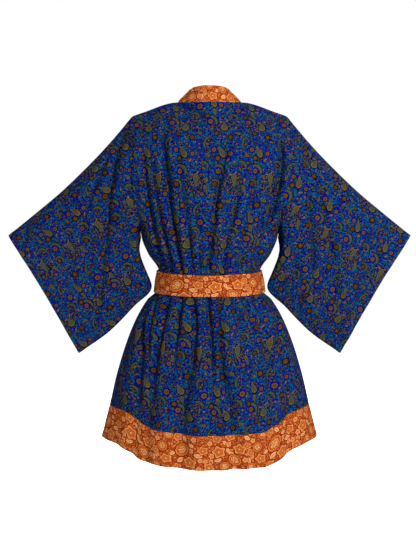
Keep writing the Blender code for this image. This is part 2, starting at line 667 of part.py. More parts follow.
def make_tail(hand, cloth):
    """One hanging end of the belt: it drops from the knot and lies on the skirt's front."""
    top = KNOT_Z - KNOT_HEIGHT / 2 - TAIL_DROP
    low = top - TAIL_LENGTH[hand]
    levels = np.array([top, *LEVELS[LEVELS < top - MM], (LEVELS[-1] + low) / 2, low])
    along = ((top - levels) / TAIL_LENGTH[hand])[:, None]
    across = np.linspace(-1, 1, 7)[None, :]
    centre = hang["left"](along) if hand == LEFT else hang["right"](along)
    x = hand * (centre + hang["half_width"](along) * across)
    z = top - TAIL_LENGTH[hand] * along + 0 * x
    angle = np.arcsin(np.clip(x / half_width(z), -1, 1))
    inner = laid_on_body(FRONT, angle, z, FRONT_UNDER_BELT + LAYER_GAP + 0 * x)
    gathered = TAIL_GATHER * (1 - smooth(0, TAIL_GATHER_TO, along)) * np.cos(2.2 * across)
    inner[..., 1] = np.minimum(inner[..., 1], knot_back() - TAIL_INTO_KNOT) - gathered
    outer = inner - np.array([0, BELT_CLOTH, 0])
    wall("belt_end_left" if hand == LEFT else "belt_end_right", inner, outer, cloth)


def cloth_material(name, colour, roughness):
    material = bpy.data.materials.new(name)
    material.use_nodes = True
    surface = material.node_tree.nodes["Principled BSDF"]
    surface.inputs["Base Color"].default_value = (*colour, 1)
    surface.inputs["Roughness"].default_value = roughness
    surface.inputs["Metallic"].default_value = 0
    return material


def main():
    for old in list(bpy.data.objects):
        bpy.data.objects.remove(old)
    blue = cloth_material("printed_blue_silk", (0.02, 0.05, 0.20), 0.55)
    rust = cloth_material("printed_rust_silk", (0.55, 0.16, 0.05), 0.55)
    make_back(blue, rust)
    make_neck_band(rust)
    make_belt(rust)
    make_knot(rust)
    for hand in (LEFT, RIGHT):
        make_front(hand, blue, rust)
        make_sleeve(hand, blue)
        make_front_band(hand, rust)
        make_tail(hand, rust)


main()
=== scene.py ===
# %% [markdown]
# # A printed kimono robe, filled out as it is worn
#
# The real thing is a short wrap robe of thin printed satin: a blue print for the body and the two wide
# sleeves, a rust print for the neck band, the hem border and the belt. The picture shows it from behind,
# hollow, and filled out as it is when it is worn.
#
# Each cut and sewn piece is a thin shell of cloth of its own, laid on the same worked-out form as its
# solid, with many more and finer folds than the solid carries.

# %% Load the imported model
import json
import math
from collections import namedtuple

import bpy
import numpy as np
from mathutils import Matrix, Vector

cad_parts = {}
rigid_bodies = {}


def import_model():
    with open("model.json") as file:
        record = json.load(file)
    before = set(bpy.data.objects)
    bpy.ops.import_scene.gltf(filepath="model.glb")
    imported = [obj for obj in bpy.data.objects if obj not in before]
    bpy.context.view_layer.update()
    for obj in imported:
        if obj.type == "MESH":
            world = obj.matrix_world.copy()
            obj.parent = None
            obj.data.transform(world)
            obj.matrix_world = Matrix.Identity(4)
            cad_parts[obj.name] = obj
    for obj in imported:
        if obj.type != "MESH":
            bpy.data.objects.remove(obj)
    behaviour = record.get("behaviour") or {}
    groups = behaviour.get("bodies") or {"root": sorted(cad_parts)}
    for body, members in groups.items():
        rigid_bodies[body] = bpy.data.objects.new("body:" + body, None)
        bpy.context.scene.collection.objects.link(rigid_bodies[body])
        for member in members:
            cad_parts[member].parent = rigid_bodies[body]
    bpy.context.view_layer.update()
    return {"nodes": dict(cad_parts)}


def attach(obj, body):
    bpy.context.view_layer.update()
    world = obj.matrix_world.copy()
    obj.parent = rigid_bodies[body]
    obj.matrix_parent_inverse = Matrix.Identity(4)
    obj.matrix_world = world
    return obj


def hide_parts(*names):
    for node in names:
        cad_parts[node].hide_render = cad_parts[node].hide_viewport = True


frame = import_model()
print("solids:", sorted(frame["nodes"]))

# %% [markdown]
# ## Sizes
#
# The robe is measured in millimetres, as a dressmaker would, and MM turns that to metres. The cut's
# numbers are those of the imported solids, so every piece of cloth stands exactly where its solid does.

# %% The cut's sizes
MM = 0.001
CLOTH, BAND_CLOTH, BELT_CLOTH = 1.5 * MM, 2.2 * MM, 2.0 * MM
SEAM_GAP, LAYER_GAP = 0.3 * MM, 0.8 * MM
SATIN = 0.9 * MM
NECK_HALF, NECK_BACK = 76 * MM, 58 * MM
SHOULDER_HALF, SHOULDER_DROP, SHOULDER_ROUND = 182 * MM, 32 * MM, 105 * MM
SHOULDER_BEND_X, SHOULDER_BEND_Z = 159 * MM, -24 * MM
ARMPIT_Z = -317 * MM
BAND_WIDTH = 42 * MM
BELT_TOP, BELT_WIDTH = -400 * MM, 50 * MM
BORDER_HEIGHT = 79 * MM
BACK, FRONT = 1, -1
LEFT, RIGHT = 1, -1

# %% The body's sections
Section = namedtuple("Section", "name z half_width back front armhole")
BODY = (
    # name             z mm   half width  back  front  armhole half depth
    Section("shoulder", 0.0, 182.0, 84.0, 78.0, 0.0),
    Section("shoulder_end", -32.0, 182.0, 90.0, 86.0, 26.0),
    Section("blade", -110.0, 179.0, 106.0, 102.0, 66.0),
    Section("chest", -200.0, 173.0, 114.0, 120.0, 70.0),
    Section("underarm", -270.0, 167.0, 114.0, 122.0, 50.0),
    Section("armpit", -317.0, 162.0, 112.0, 117.0, 0.0),
    Section("blouse", -356.0, 147.0, 107.0, 110.0, 0.0),
    Section("belt_top", -400.0, 121.0, 98.0, 98.0, 0.0),
    Section("waist", -425.0, 125.0, 97.0, 97.0, 0.0),
    Section("belt_end", -452.0, 129.5, 101.0, 101.0, 0.0),
    Section("gathers", -472.0, 150.0, 114.0, 112.0, 0.0),
    Section("hip", -545.0, 189.0, 139.0, 134.0, 0.0),
    Section("thigh", -648.0, 223.0, 157.0, 149.0, 0.0),
    Section("border", -722.0, 241.0, 166.0, 157.0, 0.0),
    Section("hem", -800.0, 261.0, 174.0, 165.0, 0.0),
    Section("below", -850.0, 272.0, 178.0, 169.0, 0.0),
)
print("body:", len(BODY), "sections")

# %% The border's seam and the fronts' edges
Dip = namedtuple("Dip", "degrees back front")
BORDER_SEAM = (
    # Height of the border's seam round the skirt; it is highest beside the side seams
    Dip(-90, -724, -724),
    Dip(-66, -722, -724),
    Dip(-52, -729, -728),
    Dip(-39, -749, -731),
    Dip(-28, -762, -733),
    Dip(0, -764, -735),
    Dip(14, -763, -734),
    Dip(25, -757, -733),
    Dip(36, -753, -731),
    Dip(47, -737, -729),
    Dip(58, -724, -725),
    Dip(72, -723, -724),
    Dip(90, -728, -728),
)
Edge = namedtuple("Edge", "name z across")
FRONT_EDGE = (
    # How far the edge of each front lies from the mid-line, on its own side
    Edge("neck_point", 0.0, 76.0),
    Edge("collar_bone", -60.0, 64.0),
    Edge("crossing", -265.0, 0.0),
    Edge("belt", -400.0, -46.0),
    Edge("hip", -545.0, -60.0),
    Edge("hem", -850.0, -84.0),
)
print("the fronts cross %.0f mm below the neck points" % -FRONT_EDGE[2].z)

# %% [markdown]
# ## Smooth lines through a few measured points
#
# A dressmaker's curve passes through marked points without swinging past them. `curve` does the same
# with numbers, and `column` reads one column of a table as such a curve.


# %% Curves
def smooth(low, high, value):
    """0 below low, 1 above high, and a soft step between."""
    t = np.clip((np.asarray(value, float) - low) / (high - low), 0, 1)
    return t * t * (3 - 2 * t)


def curve(places, values):
    """A smooth line through the points that never overshoots them."""
    order = np.argsort(places)
    xs, ys = np.array(places, float)[order], np.array(values, float)[order]
    step = np.diff(xs)
    slope = np.diff(ys) / step
    tangent = np.concatenate([slope[:1], np.zeros(len(xs) - 2), slope[-1:]])
    product, total = slope[:-1] * slope[1:], slope[:-1] + slope[1:]
    same_way = product > 0
    tangent[1:-1][same_way] = 2 * product[same_way] / total[same_way]

    def at(x):
        x = np.clip(np.asarray(x, float), xs[0], xs[-1])
        k = np.clip(np.searchsorted(xs, x, side="right") - 1, 0, len(step) - 1)
        t, d = (x - xs[k]) / step[k], step[k]
        rise = t * t * (3 - 2 * t)
        bend = t * (1 - t) ** 2 * d * tangent[k] + t * t * (t - 1) * d * tangent[k + 1]
        return ys[k] * (1 - rise) + ys[k + 1] * rise + bend

    return at


def column(table, key, name):
    """A table's column in metres as a smooth function of another column."""
    return curve([getattr(row, key) * (MM if key == "z" else 1) for row in table],
                 [getattr(row, name) * MM for row in table])

# %% The robe's own curves
half_width = column(BODY, "z", "half_width")
armhole_half = column(BODY, "z", "armhole")
body_depth = {BACK: column(BODY, "z", "back"), FRONT: column(BODY, "z", "front")}
front_edge = column(FRONT_EDGE, "z", "across")
shoulder_line = curve([0, NECK_HALF, SHOULDER_BEND_X, SHOULDER_HALF], [0, 0, SHOULDER_BEND_Z, -SHOULDER_DROP])
seam_angles = [math.radians(row.degrees) for row in BORDER_SEAM]
border_seam = {
    BACK: curve(seam_angles, [row.back * MM for row in BORDER_SEAM]),
    FRONT: curve(seam_angles, [row.front * MM for row in BORDER_SEAM]),
}
hem_round_back = [float(BORDER_HEIGHT - border_seam[BACK](angle)) / MM for angle in (1.2, 0.0)]
print("hem round the back: %.0f to %.0f mm below the neck point" % tuple(hem_round_back))

# %% [markdown]
# ## Creases
#
# A hanging robe breaks into long soft troughs: from the shoulder blades down to the belt, and from the
# belt's gathers down to the hem. They could come from a cloth simulation, but then they would fall where
# they like. Here each one is drawn as a line of stops: where it runs, how deep it presses the
# cloth in, and how wide it is. Depth 0 starts and ends it, and a negative depth is a raised ridge.
#
# x and z are read on the view from behind, +x to the wearer's left, in millimetres.

# %% The creases of the back's upper part
Stop = namedtuple("Stop", "x z deep wide")


def crease(*stops):
    """One crease's line, from its upper end to its lower one."""
    return [Stop(*stop) for stop in stops]


BODICE_CREASES = (
    # Shoulder blades to belt, from the wearer's left to the right
    crease((153, -104, 0, 10), (152, -126, 5, 11), (148, -183, 10, 11), (138, -246, 12, 10), (129, -311, 13, 9.5),
           (115, -362, 16, 10), (110, -384, 14, 10), (109, -398, 0, 10)),
    crease((137, -105, 0, 8), (134, -140, 4, 8), (123, -227, 6, 8), (108, -298, 9, 8), (96, -354, 11, 8),
           (91, -384, 10, 8), (90, -398, 0, 8)),
    crease((110, -66, 0, 9), (107, -90, 8, 9), (100, -148, 11, 8.5), (93, -208, 11, 8), (85, -275, 12, 8),
           (77, -331, 12, 8.5), (68, -384, 10, 8), (66, -398, 0, 8)),
    crease((72, -105, 0, 9), (70, -140, 3, 9), (57, -234, 4, 9), (52, -280, 6, 8), (45, -350, 8, 8),
           (42, -384, 7, 8), (41, -398, 0, 8)),
    crease((30, -200, 0, 9), (29, -254, 2, 9), (27, -330, 3, 9), (25, -384, 4, 8), (25, -398, 0, 8)),
    crease((-50, -64, 0, 9), (-45, -90, 5, 9), (-30, -148, 8, 9), (-16, -221, 11, 9), (-9, -280, 11, 9),
           (-2, -341, 10, 8.5), (2, -384, 8, 8), (3, -398, 0, 8)),
    crease((-74, -160, 0, 8), (-68, -200, 4, 8), (-57, -254, 6, 8), (-42, -311, 6, 8), (-31, -384, 6, 8),
           (-30, -398, 0, 8)),
    crease((-108, -145, 0, 9), (-103, -180, 4, 9), (-91, -260, 5, 9), (-77, -331, 5, 8), (-69, -384, 6, 8),
           (-67, -398, 0, 8)),
    crease((-119, -225, 0, 9), (-118, -260, 4, 9), (-115, -348, 7, 9), (-113, -384, 7, 8), (-112, -398, 0, 8)),
    crease((-161, -70, 0, 9), (-163, -92, 8, 10), (-167, -137, 12, 10), (-161, -188, 14, 10), (-150, -241, 13, 10),
           (-137, -293, 11, 10), (-130, -325, 6, 10), (-126, -352, 0, 10)),
    crease((90, -6, 0, 9), (90, -20, 5, 10), (93, -38, 0, 9)),
    # Ridges between them
    crease((-92, -26, 0, 13), (-100, -60, -4, 13), (-108, -110, -4, 13), (-112, -140, 0, 13)),
    crease((-90, -110, 0, 13), (-82, -150, -3, 13), (-68, -270, -3, 12), (-60, -320, 0, 12)),
    crease((171, -50, 0, 12), (170, -90, -3, 12), (170, -130, -2, 12), (168, -160, 0, 12)),
)

# %% The creases of the back's skirt
SKIRT_CREASES = (
    # Belt to hem, from the wearer's left to the right
    crease((136, -449, 0, 9), (140, -458, 9, 9), (152, -483, 14, 9), (161, -512, 15, 10), (163, -585, 15, 10),
           (169, -631, 15, 10.5), (176, -708, 15, 11), (180, -760, 14, 12), (184, -860, 12, 13)),
    crease((123, -449, 0, 7), (126, -458, 8, 7), (140, -515, 8, 7), (144, -570, 7, 7), (146, -620, 5, 8),
           (148, -680, 0, 8)),
    crease((94, -449, 0, 8), (97, -458, 9, 8), (109, -506, 12, 8.5), (120, -556, 13, 9), (130, -614, 13, 9.5),
           (139, -667, 13, 10), (147, -740, 12, 11), (152, -860, 11, 12)),
    crease((65, -449, 0, 8), (67, -458, 9, 8), (74, -512, 9, 8), (82, -567, 6, 9), (92, -650, 2, 10),
           (96, -690, 0, 10)),
    crease((41, -449, 0, 8), (40, -458, 9, 8), (33, -500, 11, 8), (36, -556, 12, 9), (44, -608, 13, 10),
           (58, -658, 14, 11), (65, -714, 16, 12), (67, -750, 16, 13), (70, -860, 14, 14)),
    crease((5, -449, 0, 8), (4, -458, 9, 8), (0, -500, 12, 8.5), (-5, -558, 12, 9), (-5, -631, 9, 9.5),
           (-8, -720, 8, 10), (-10, -860, 6, 12)),
    crease((-17, -449, 0, 8), (-19, -458, 5, 8), (-24, -544, 8, 8), (-30, -608, 12, 9), (-35, -655, 13, 10),
           (-47, -708, 14, 10.5), (-52, -760, 14, 12), (-60, -860, 12, 13)),
    crease((-56, -449, 0, 8), (-57, -458, 5, 8), (-68, -512, 5, 8), (-74, -550, 3, 9), (-80, -600, 0, 9)),
    crease((-77, -449, 0, 8), (-78, -458, 5, 8), (-96, -503, 5, 8), (-104, -540, 0, 9)),
    crease((-108, -449, 0, 10), (-112, -465, 7, 10), (-132, -570, 9, 11), (-142, -643, 9, 11), (-146, -690, 6, 12),
           (-150, -860, 5, 14)),
    crease((-137, -449, 0, 8), (-141, -464, 7, 8), (-163, -515, 10, 9), (-177, -602, 12, 10), (-186, -661, 12, 10),
           (-188, -708, 11, 11), (-194, -860, 10, 13)),
    crease((-96, -620, 0, 13), (-102, -690, 4, 13), (-108, -860, 7, 14)),
    crease((210, -640, 0, 12), (218, -720, 4, 13), (228, -860, 8, 14)),
    # Ridges between them
    crease((54, -455, 0, 11), (55, -490, -3, 11), (57, -540, -3, 11), (60, -575, 0, 11)),
    crease((-41, -460, 0, 12), (-42, -500, -3, 12), (-46, -555, -3, 12), (-50, -590, 0, 12)),
    crease((-94, -500, 0, 13), (-97, -540, -3, 13), (-100, -585, 0, 13)),
    crease((-70, -630, 0, 13), (-68, -690, -4, 13), (-70, -760, 0, 13)),
    crease((13, -600, 0, 13), (12, -680, -3, 14), (14, -760, 0, 14)),
)
BACK_CREASES = BODICE_CREASES + SKIRT_CREASES
print("creases of the back:", len(BACK_CREASES))

# %% [markdown]
# ## Creases that the picture doesn't show
#
# The front gets the same kind of folds as the back, fewer of them, because the two fronts overlap and are
# pulled smooth by the belt. The sleeves hang from the arm's top edge, so their folds fan out downwards.

# %% The creases of the fronts
FRONT_CREASES = (
    crease((152, -116, 0, 10), (150, -150, 7, 11), (140, -246, 9, 10), (126, -330, 10, 10), (111, -384, 9, 10),
           (108, -398, 0, 10)),
    crease((116, -196, 0, 9), (112, -250, 5, 9), (99, -330, 8, 9), (88, -384, 8, 8), (86, -398, 0, 8)),
    crease((70, -290, 0, 9), (66, -340, 4, 9), (61, -384, 6, 8), (60, -398, 0, 8)),
    crease((-155, -104, 0, 10), (-152, -150, 8, 10), (-141, -240, 9, 10), (-126, -330, 9, 10), (-112, -384, 8, 10),
           (-110, -398, 0, 10)),
    crease((-124, -240, 0, 9), (-118, -290, 4, 9), (-102, -350, 7, 8), (-92, -384, 7, 8), (-90, -398, 0, 8)),
    crease((-70, -330, 0, 9), (-68, -360, 3, 8), (-65, -384, 5, 8), (-64, -398, 0, 8)),
    crease((120, -449, 0, 9), (123, -460, 8, 9), (147, -530, 11, 10), (164, -640, 12, 11), (178, -740, 12, 12),
           (188, -860, 11, 13)),
    crease((96, -449, 0, 8), (98, -459, 7, 8), (112, -540, 8, 9), (122, -620, 6, 10), (130, -700, 0, 11)),
    crease((140, -600, 0, 11), (142, -680, 5, 12), (146, -860, 8, 13)),
    crease((-118, -449, 0, 9), (-121, -460, 7, 9), (-146, -536, 10, 10), (-160, -640, 11, 11), (-176, -740, 12, 12),
           (-188, -860, 11, 13)),
    crease((-98, -449, 0, 8), (-100, -459, 6, 8), (-116, -530, 8, 9), (-128, -640, 9, 10), (-136, -740, 8, 11),
           (-142, -860, 7, 13)),
    crease((-212, -650, 0, 12), (-220, -740, 5, 13), (-228, -860, 7, 13)),
)
print("creases of the fronts:", len(FRONT_CREASES))

# %% The creases of the sleeves
SLEEVE_CREASES_BACK = (
    # The left sleeve
    crease((199, -60, 0, 9), (203, -82, 8, 9), (217, -114, 12, 9), (226, -164, 15, 9), (236, -231, 13, 9),
           (246, -312, 12, 9.5), (257, -387, 11, 10), (267, -462, 10, 11), (285, -537, 7, 12), (296, -600, 4, 12)),
    crease((224, -96, 0, 8), (232, -112, 6, 8), (257, -161, 7, 9), (272, -198, 7, 9), (304, -285, 4, 10),
           (312, -330, 2, 10), (318, -370, 0, 10)),
    crease((187, -44, 0, 8), (187, -80, 5, 8), (183, -157, 6, 8), (179, -235, 5, 8), (175, -268, 3, 8),
           (172, -300, 0, 8)),
    crease((345, -195, 0, 15), (350, -252, 4, 16), (352, -310, 0, 16)),
    crease((284, -325, 0, 13), (290, -380, 4, 14), (298, -440, 0, 14)),
    crease((331, -345, 0, 14), (337, -403, 4, 15), (343, -470, 0, 15)),
    crease((432, -284, 0, 10), (441, -312, 5, 11), (450, -350, 0, 11)),
    crease((206, -230, 0, 14), (214, -290, -3, 14), (220, -350, 0, 14)),
    # The right sleeve
    crease((-186, -46, 0, 8), (-192, -60, 6, 8), (-210, -88, 8, 8), (-227, -114, 6, 8), (-238, -136, 0, 8)),
    crease((-231, -136, 0, 9), (-232, -170, 6, 9), (-233, -240, 7, 9), (-238, -310, 6, 10), (-242, -380, 5, 10),
           (-244, -440, 0, 10)),
    crease((-243, -150, 0, 9), (-246, -175, 6, 9), (-264, -238, 7, 9), (-277, -285, 7, 10), (-295, -400, 5, 11),
           (-303, -470, 0, 12)),
    crease((-259, -126, 0, 9), (-263, -150, 4, 9), (-269, -190, 0, 9)),
    crease((-343, -235, 0, 17), (-353, -295, 5, 18), (-358, -360, 0, 18)),
    crease((-307, -515, 0, 12), (-314, -558, 5, 13), (-320, -600, 0, 12)),
    crease((-158, -395, 0, 10), (-182, -448, 4, 11), (-208, -492, 0, 10)),
    crease((-202, -130, 0, 12), (-208, -175, -3, 12), (-212, -230, 0, 12)),
    crease((-216, -340, 0, 13), (-222, -387, -3, 13), (-228, -440, 0, 13)),
    crease((-318, -390, 0, 16), (-326, -440, -4, 17), (-334, -490, 0, 16)),
)
SLEEVE_CREASES_FRONT = (
    crease((206, -74, 0, 9), (214, -100, 8, 10), (230, -190, 10, 10), (241, -300, 9, 11), (252, -420, 8, 12),
           (262, -560, 5, 13)),
    crease((246, -120, 0, 9), (270, -170, 6, 10), (296, -260, 7, 11), (312, -380, 5, 13), (322, -500, 0, 14)),
    crease((340, -230, 0, 15), (352, -290, 5, 17), (368, -370, 4, 18), (380, -440, 0, 18)),
    crease((-202, -72, 0, 9), (-210, -98, 7, 10), (-226, -190, 9, 10), (-236, -320, 8, 11), (-242, -470, 5, 12),
           (-246, -540, 0, 12)),
    crease((-240, -120, 0, 9), (-262, -170, 6, 10), (-286, -270, 7, 11), (-308, -420, 5, 13), (-320, -560, 0, 14)),
    crease((-334, -230, 0, 16), (-346, -290, 5, 17), (-362, -370, 4, 18), (-374, -440, 0, 18)),
)
print("creases of the sleeves:", len(SLEEVE_CREASES_BACK) + len(SLEEVE_CREASES_FRONT))

# %% [markdown]
# ## From crease lines to relief
#
# Across its line a crease is a rounded trough with a low shoulder on each side, as cloth that is pushed in
# at one place stands up beside it. Toward the hem the troughs get wider and shallower. Two finer things are
# added: fine gathers where the belt squeezes the cloth, and a very low, uneven swell, because a real panel
# is never quite flat.

# %% Relief
SHOULDER_RISE = 0.35
CREASE_WIDTH, WIDTH_AT_HEM = 0.88, 1.7
CREASE_DEPTH, DEPTH_AT_HEM = 1.4, 0.85
HEM_FADE_TO, HEM_FADE_FROM = -760 * MM, -540 * MM
EASE = 1.1 * MM
EASE_WAVES = ((61, 118, 0.3), (47, -83, 1.9), (93, 57, 4.1), (37, 171, 5.2))
GATHER = 1.7 * MM
GATHER_WAVES = ((13.5, 1.0, 0.0), (9.6, 0.7, 2.2), (19.0, 0.8, 4.0))
GATHER_ABOVE, GATHER_BELOW = 34 * MM, 46 * MM
GATHER_START, GATHER_LEAN = 3 * MM, 18 * MM
GATHER_SPAN, GATHER_LEVEL = 1.6, 0.4


def pressed_in(creases, x, z):
    """How far the creases press the cloth inwards at a place seen from behind."""
    x, z = np.broadcast_arrays(x, z)
    above_hem = smooth(HEM_FADE_TO, HEM_FADE_FROM, z)
    broaden = WIDTH_AT_HEM + (CREASE_WIDTH - WIDTH_AT_HEM) * above_hem
    total = np.zeros(x.shape)
    for stops in creases:
        heights = [stop.z * MM for stop in stops]
        near = (z <= heights[0] + MM) & (z >= heights[-1] - MM)
        if not near.any():
            continue
        zs = z[near]
        centre = curve(heights, [stop.x * MM for stop in stops])(zs)
        deep = curve(heights, [stop.deep * MM for stop in stops])(zs)
        wide = curve(heights, [stop.wide * MM for stop in stops])(zs)
        away = (x[near] - centre) / (wide * broaden[near])
        profile = (1 + SHOULDER_RISE) * np.exp(-away ** 2) - SHOULDER_RISE * np.exp(-((away / 2) ** 2))
        total[near] += deep * profile
    return total * (DEPTH_AT_HEM + (CREASE_DEPTH - DEPTH_AT_HEM) * above_hem)


# %% Swell and gathers
def swell(x, z):
    """A low uneven relief: waves whose lengths across and down are in mm, and where each one starts."""
    return EASE * sum(np.sin(2 * math.pi * (x / (a * MM) + z / (b * MM)) + c) for a, b, c in EASE_WAVES) / 2


def gathers(x, z):
    """Fine pleats beside the belt, which fade out above and below it."""
    above, below = z - BELT_TOP, BELT_TOP - BELT_WIDTH - z
    upper = z > BELT_TOP - BELT_WIDTH / 2
    reach = np.where(upper, 1 - above / GATHER_ABOVE, 1 - below / GATHER_BELOW)
    free = np.where(upper, smooth(0, GATHER_START, above), smooth(0, GATHER_START, below))
    waves = sum(s * np.sin(2 * math.pi * x / (a * MM) + c + z / GATHER_LEAN) for a, s, c in GATHER_WAVES)
    return GATHER * np.clip(reach, 0, 1) ** 2 * free * (waves / GATHER_SPAN - GATHER_LEVEL)


# %% [markdown]
# ## The body's form
#
# The robe is hollow, and it keeps the shape that it has when it is worn: half-ellipse sections from the
# shoulders down to the belt, and a skirt that widens to the hem. `body_point` gives a place on the cloth
# from an angle across (0 at the middle, a quarter turn at the side seam) and a height.

# %% Body sections
ARM_SHUT, ARM_OPEN = ARMPIT_Z - 10 * MM, ARMPIT_Z + 60 * MM
SIDE_POINT = 1.1
NECK_SIDE_FROM, NECK_SIDE_TO = 0.4 * NECK_HALF, 1.3 * NECK_HALF
SHOULDER_FULLNESS = 0.5
NECKLINE_CURVE, NECKLINE_FADE, NECKLINE_DROP = 0.75, 1.5, 0.25
FOLDS_FROM_DROP = 0.3
SIDE_SEAM_HOLD = 8
FREE_ABOVE, FREE_BELOW, PRESSED_DOWN_TO = BELT_TOP + 30 * MM, -480 * MM, -450 * MM


def belt_free(z):
    """0 under the belt, where the cloth is pressed flat, and 1 well away from it."""
    return 1 - smooth(FREE_ABOVE, BELT_TOP, z) * smooth(FREE_BELOW, PRESSED_DOWN_TO, z)


def body_point(side, across, z, folded=True):
    """A point of the cloth's inner face, side BACK or FRONT, at an angle across and a height."""
    share = np.sin(across)
    open_arm = smooth(ARM_SHUT, ARM_OPEN, z)
    arm = armhole_half(z)
    bulge = np.clip(np.cos(across), 0, 1) ** (1 + SIDE_POINT * open_arm)
    deep = arm + (body_depth[side](z) - arm) * bulge
    top_x = np.abs(share) * SHOULDER_HALF
    drop = np.clip((shoulder_line(top_x) - z) / SHOULDER_ROUND, 0, 1)
    beside_neck = smooth(NECK_SIDE_FROM, NECK_SIDE_TO, top_x)
    eased = (1 - (1 - drop) ** 2) ** (1 - SHOULDER_FULLNESS * beside_neck)
    if side == BACK:
        from_middle = np.clip(1 - (top_x / NECK_HALF) ** 2, 0, 1)
        power = NECKLINE_CURVE + NECKLINE_FADE * smooth(0, NECKLINE_DROP, drop)
        at_neck = NECK_BACK * from_middle ** power
        deep = at_neck + (deep - at_neck) * eased
    else:
        deep = deep * eased
    x = half_width(z) * share
    if not folded:
        return np.stack([x, side * deep, z + 0 * x], -1)
    creases = BACK_CREASES if side == BACK else FRONT_CREASES
    folds = pressed_in(creases, x, z) + gathers(x, z) + swell(x, z) * belt_free(z)
    held_at_seam = (1 - open_arm) * np.abs(share) ** SIDE_SEAM_HOLD
    folds = folds * smooth(0, FOLDS_FROM_DROP, drop) * (1 - held_at_seam)
    lean = across * (1 - open_arm)
    return np.stack([x - folds * np.sin(lean), side * (deep - folds * np.cos(lean)), z + 0 * x], -1)


# %% [markdown]
# ## Outward directions
#
# The cloth has a thickness, and bands and belt lie on it, so each point needs to know which way is out. At
# the side seam and round the armhole that way stays in the seam's plane, so that two sewn edges meet and
# no daylight shows between them.

# %% Outward directions
NORMAL_STEP = 0.004
NEAR_SEAM, AT_SEAM, LAST_SLOPE = 1.35, 1.56, 1.52
SEAM_OPEN = ARMPIT_Z + 20 * MM
BELOW_TOP, ON_RIDGE, RIDGE_FROM = -2 * MM, 0.1 * MM, 0.6 * NECK_HALF


def unit(vectors):
    """The same directions, each of length 1."""
    return vectors / np.maximum(np.linalg.norm(vectors, axis=-1, keepdims=True), 1e-12)


def body_normal(side, across, z):
    """The outward direction of the body's cloth."""
    near = np.clip(across, -LAST_SLOPE, LAST_SLOPE)
    east, west = body_point(side, near + NORMAL_STEP, z), body_point(side, near - NORMAL_STEP, z)
    low = np.minimum(z, BELOW_TOP)
    down = body_point(side, near, low - MM) - body_point(side, near, low + MM)
    normal = unit(np.cross(east - west, down) * side)
    open_arm = smooth(ARM_SHUT, SEAM_OPEN, z)
    keep_x = 1 - open_arm * smooth(NEAR_SEAM, AT_SEAM, np.abs(across))
    keep_y = np.where(np.abs(across) > AT_SEAM, open_arm, 1.0)
    normal = unit(np.stack([normal[..., 0] * keep_x, normal[..., 1] * keep_y, normal[..., 2]], -1))
    top_x = np.abs(np.sin(across)) * SHOULDER_HALF
    at_shoulder = (z > shoulder_line(top_x) - ON_RIDGE) * smooth(RIDGE_FROM, NECK_HALF, top_x)
    slope = (shoulder_line(top_x - MM) - shoulder_line(top_x)) / MM * np.sign(across) * keep_x
    on_ridge = unit(np.stack([slope, 0 * slope, 1 + 0 * slope], -1))
    return unit(normal + (on_ridge - normal) * at_shoulder[..., None])


def laid_on_body(side, across, z, above):
    """Points on the body's form, moved out from it by a distance."""
    across, z = np.broadcast_arrays(np.asarray(across, float), np.asarray(z, float))
    above = np.broadcast_to(np.asarray(above, float), z.shape)[..., None]
    return body_point(side, across, z) + body_normal(side, across, z) * above


# %% [markdown]
# ## The sleeves' form
#
# Each sleeve is a wide flat bag that is open at the armhole and at the cuff. Its top edge falls from the
# shoulder along the arm, its lower edge hangs free, and it bags out between the two.

# %% A sleeve's sizes
Station = namedtuple("Station", "name along top_x top_z low_x low_z fullness forward")
SLEEVE = (
    # name, share along the sleeve, top edge x z, lower edge x z, half thickness, how far it lies forward
    Station("armhole", 0.0, 182, -32, 162, -317, 60, 0),
    Station("cap", 0.14, 214, -70, 167, -350, 58, 1),
    Station("biceps", 0.28, 253, -113, 160, -388, 54, 3),
    Station("corner", 0.43, 303, -163, 141, -438, 48, 6),
    Station("elbow", 0.62, 359, -215, 186, -489, 42, 9),
    Station("forearm", 0.81, 420, -265, 247, -551, 36, 12),
    Station("cuff", 1.0, 485, -317, 320, -603, 31, 15),
)
CUFF_BOW = 9 * MM
SLEEVE_SEAM_HALF, SLEEVE_SEAM_ROUND = 4.5 * MM, 5 * MM
UNDERARM_CLEARANCE = 3 * MM
station = {name: column(SLEEVE, "along", name) for name in Station._fields[2:]}
print("sleeves: %d sections each, cuff %.0f mm from the mid-line" % (len(SLEEVE), SLEEVE[-1].top_x))

# %% A sleeve's form
BAG_TOP, BAG_LOW, BAG_PEAK = 0.5, 0.9, 0.42
BOW_SHAPE, BOW_FROM, BOW_IN, BOW_UP = 0.8, 0.6, 0.86, 0.5
LEAVES_BODY, GAP_FROM = 0.5, ARMPIT_Z + 50 * MM
SEAM_EDGE = 0.1
FOLD_ROOM, RIDGE_ROOM, FOLDS_FROM_ARMHOLE = 0.7, 20 * MM, 0.08
SWELL_SHIFT = 40 * MM
SLEEVE_STEP = 0.008


def armhole_gap(z):
    """The sleeve stands off the body at its seam, and more where it leaves it under the arm."""
    return SEAM_GAP + UNDERARM_CLEARANCE * smooth(GAP_FROM, ARMPIT_Z, z)


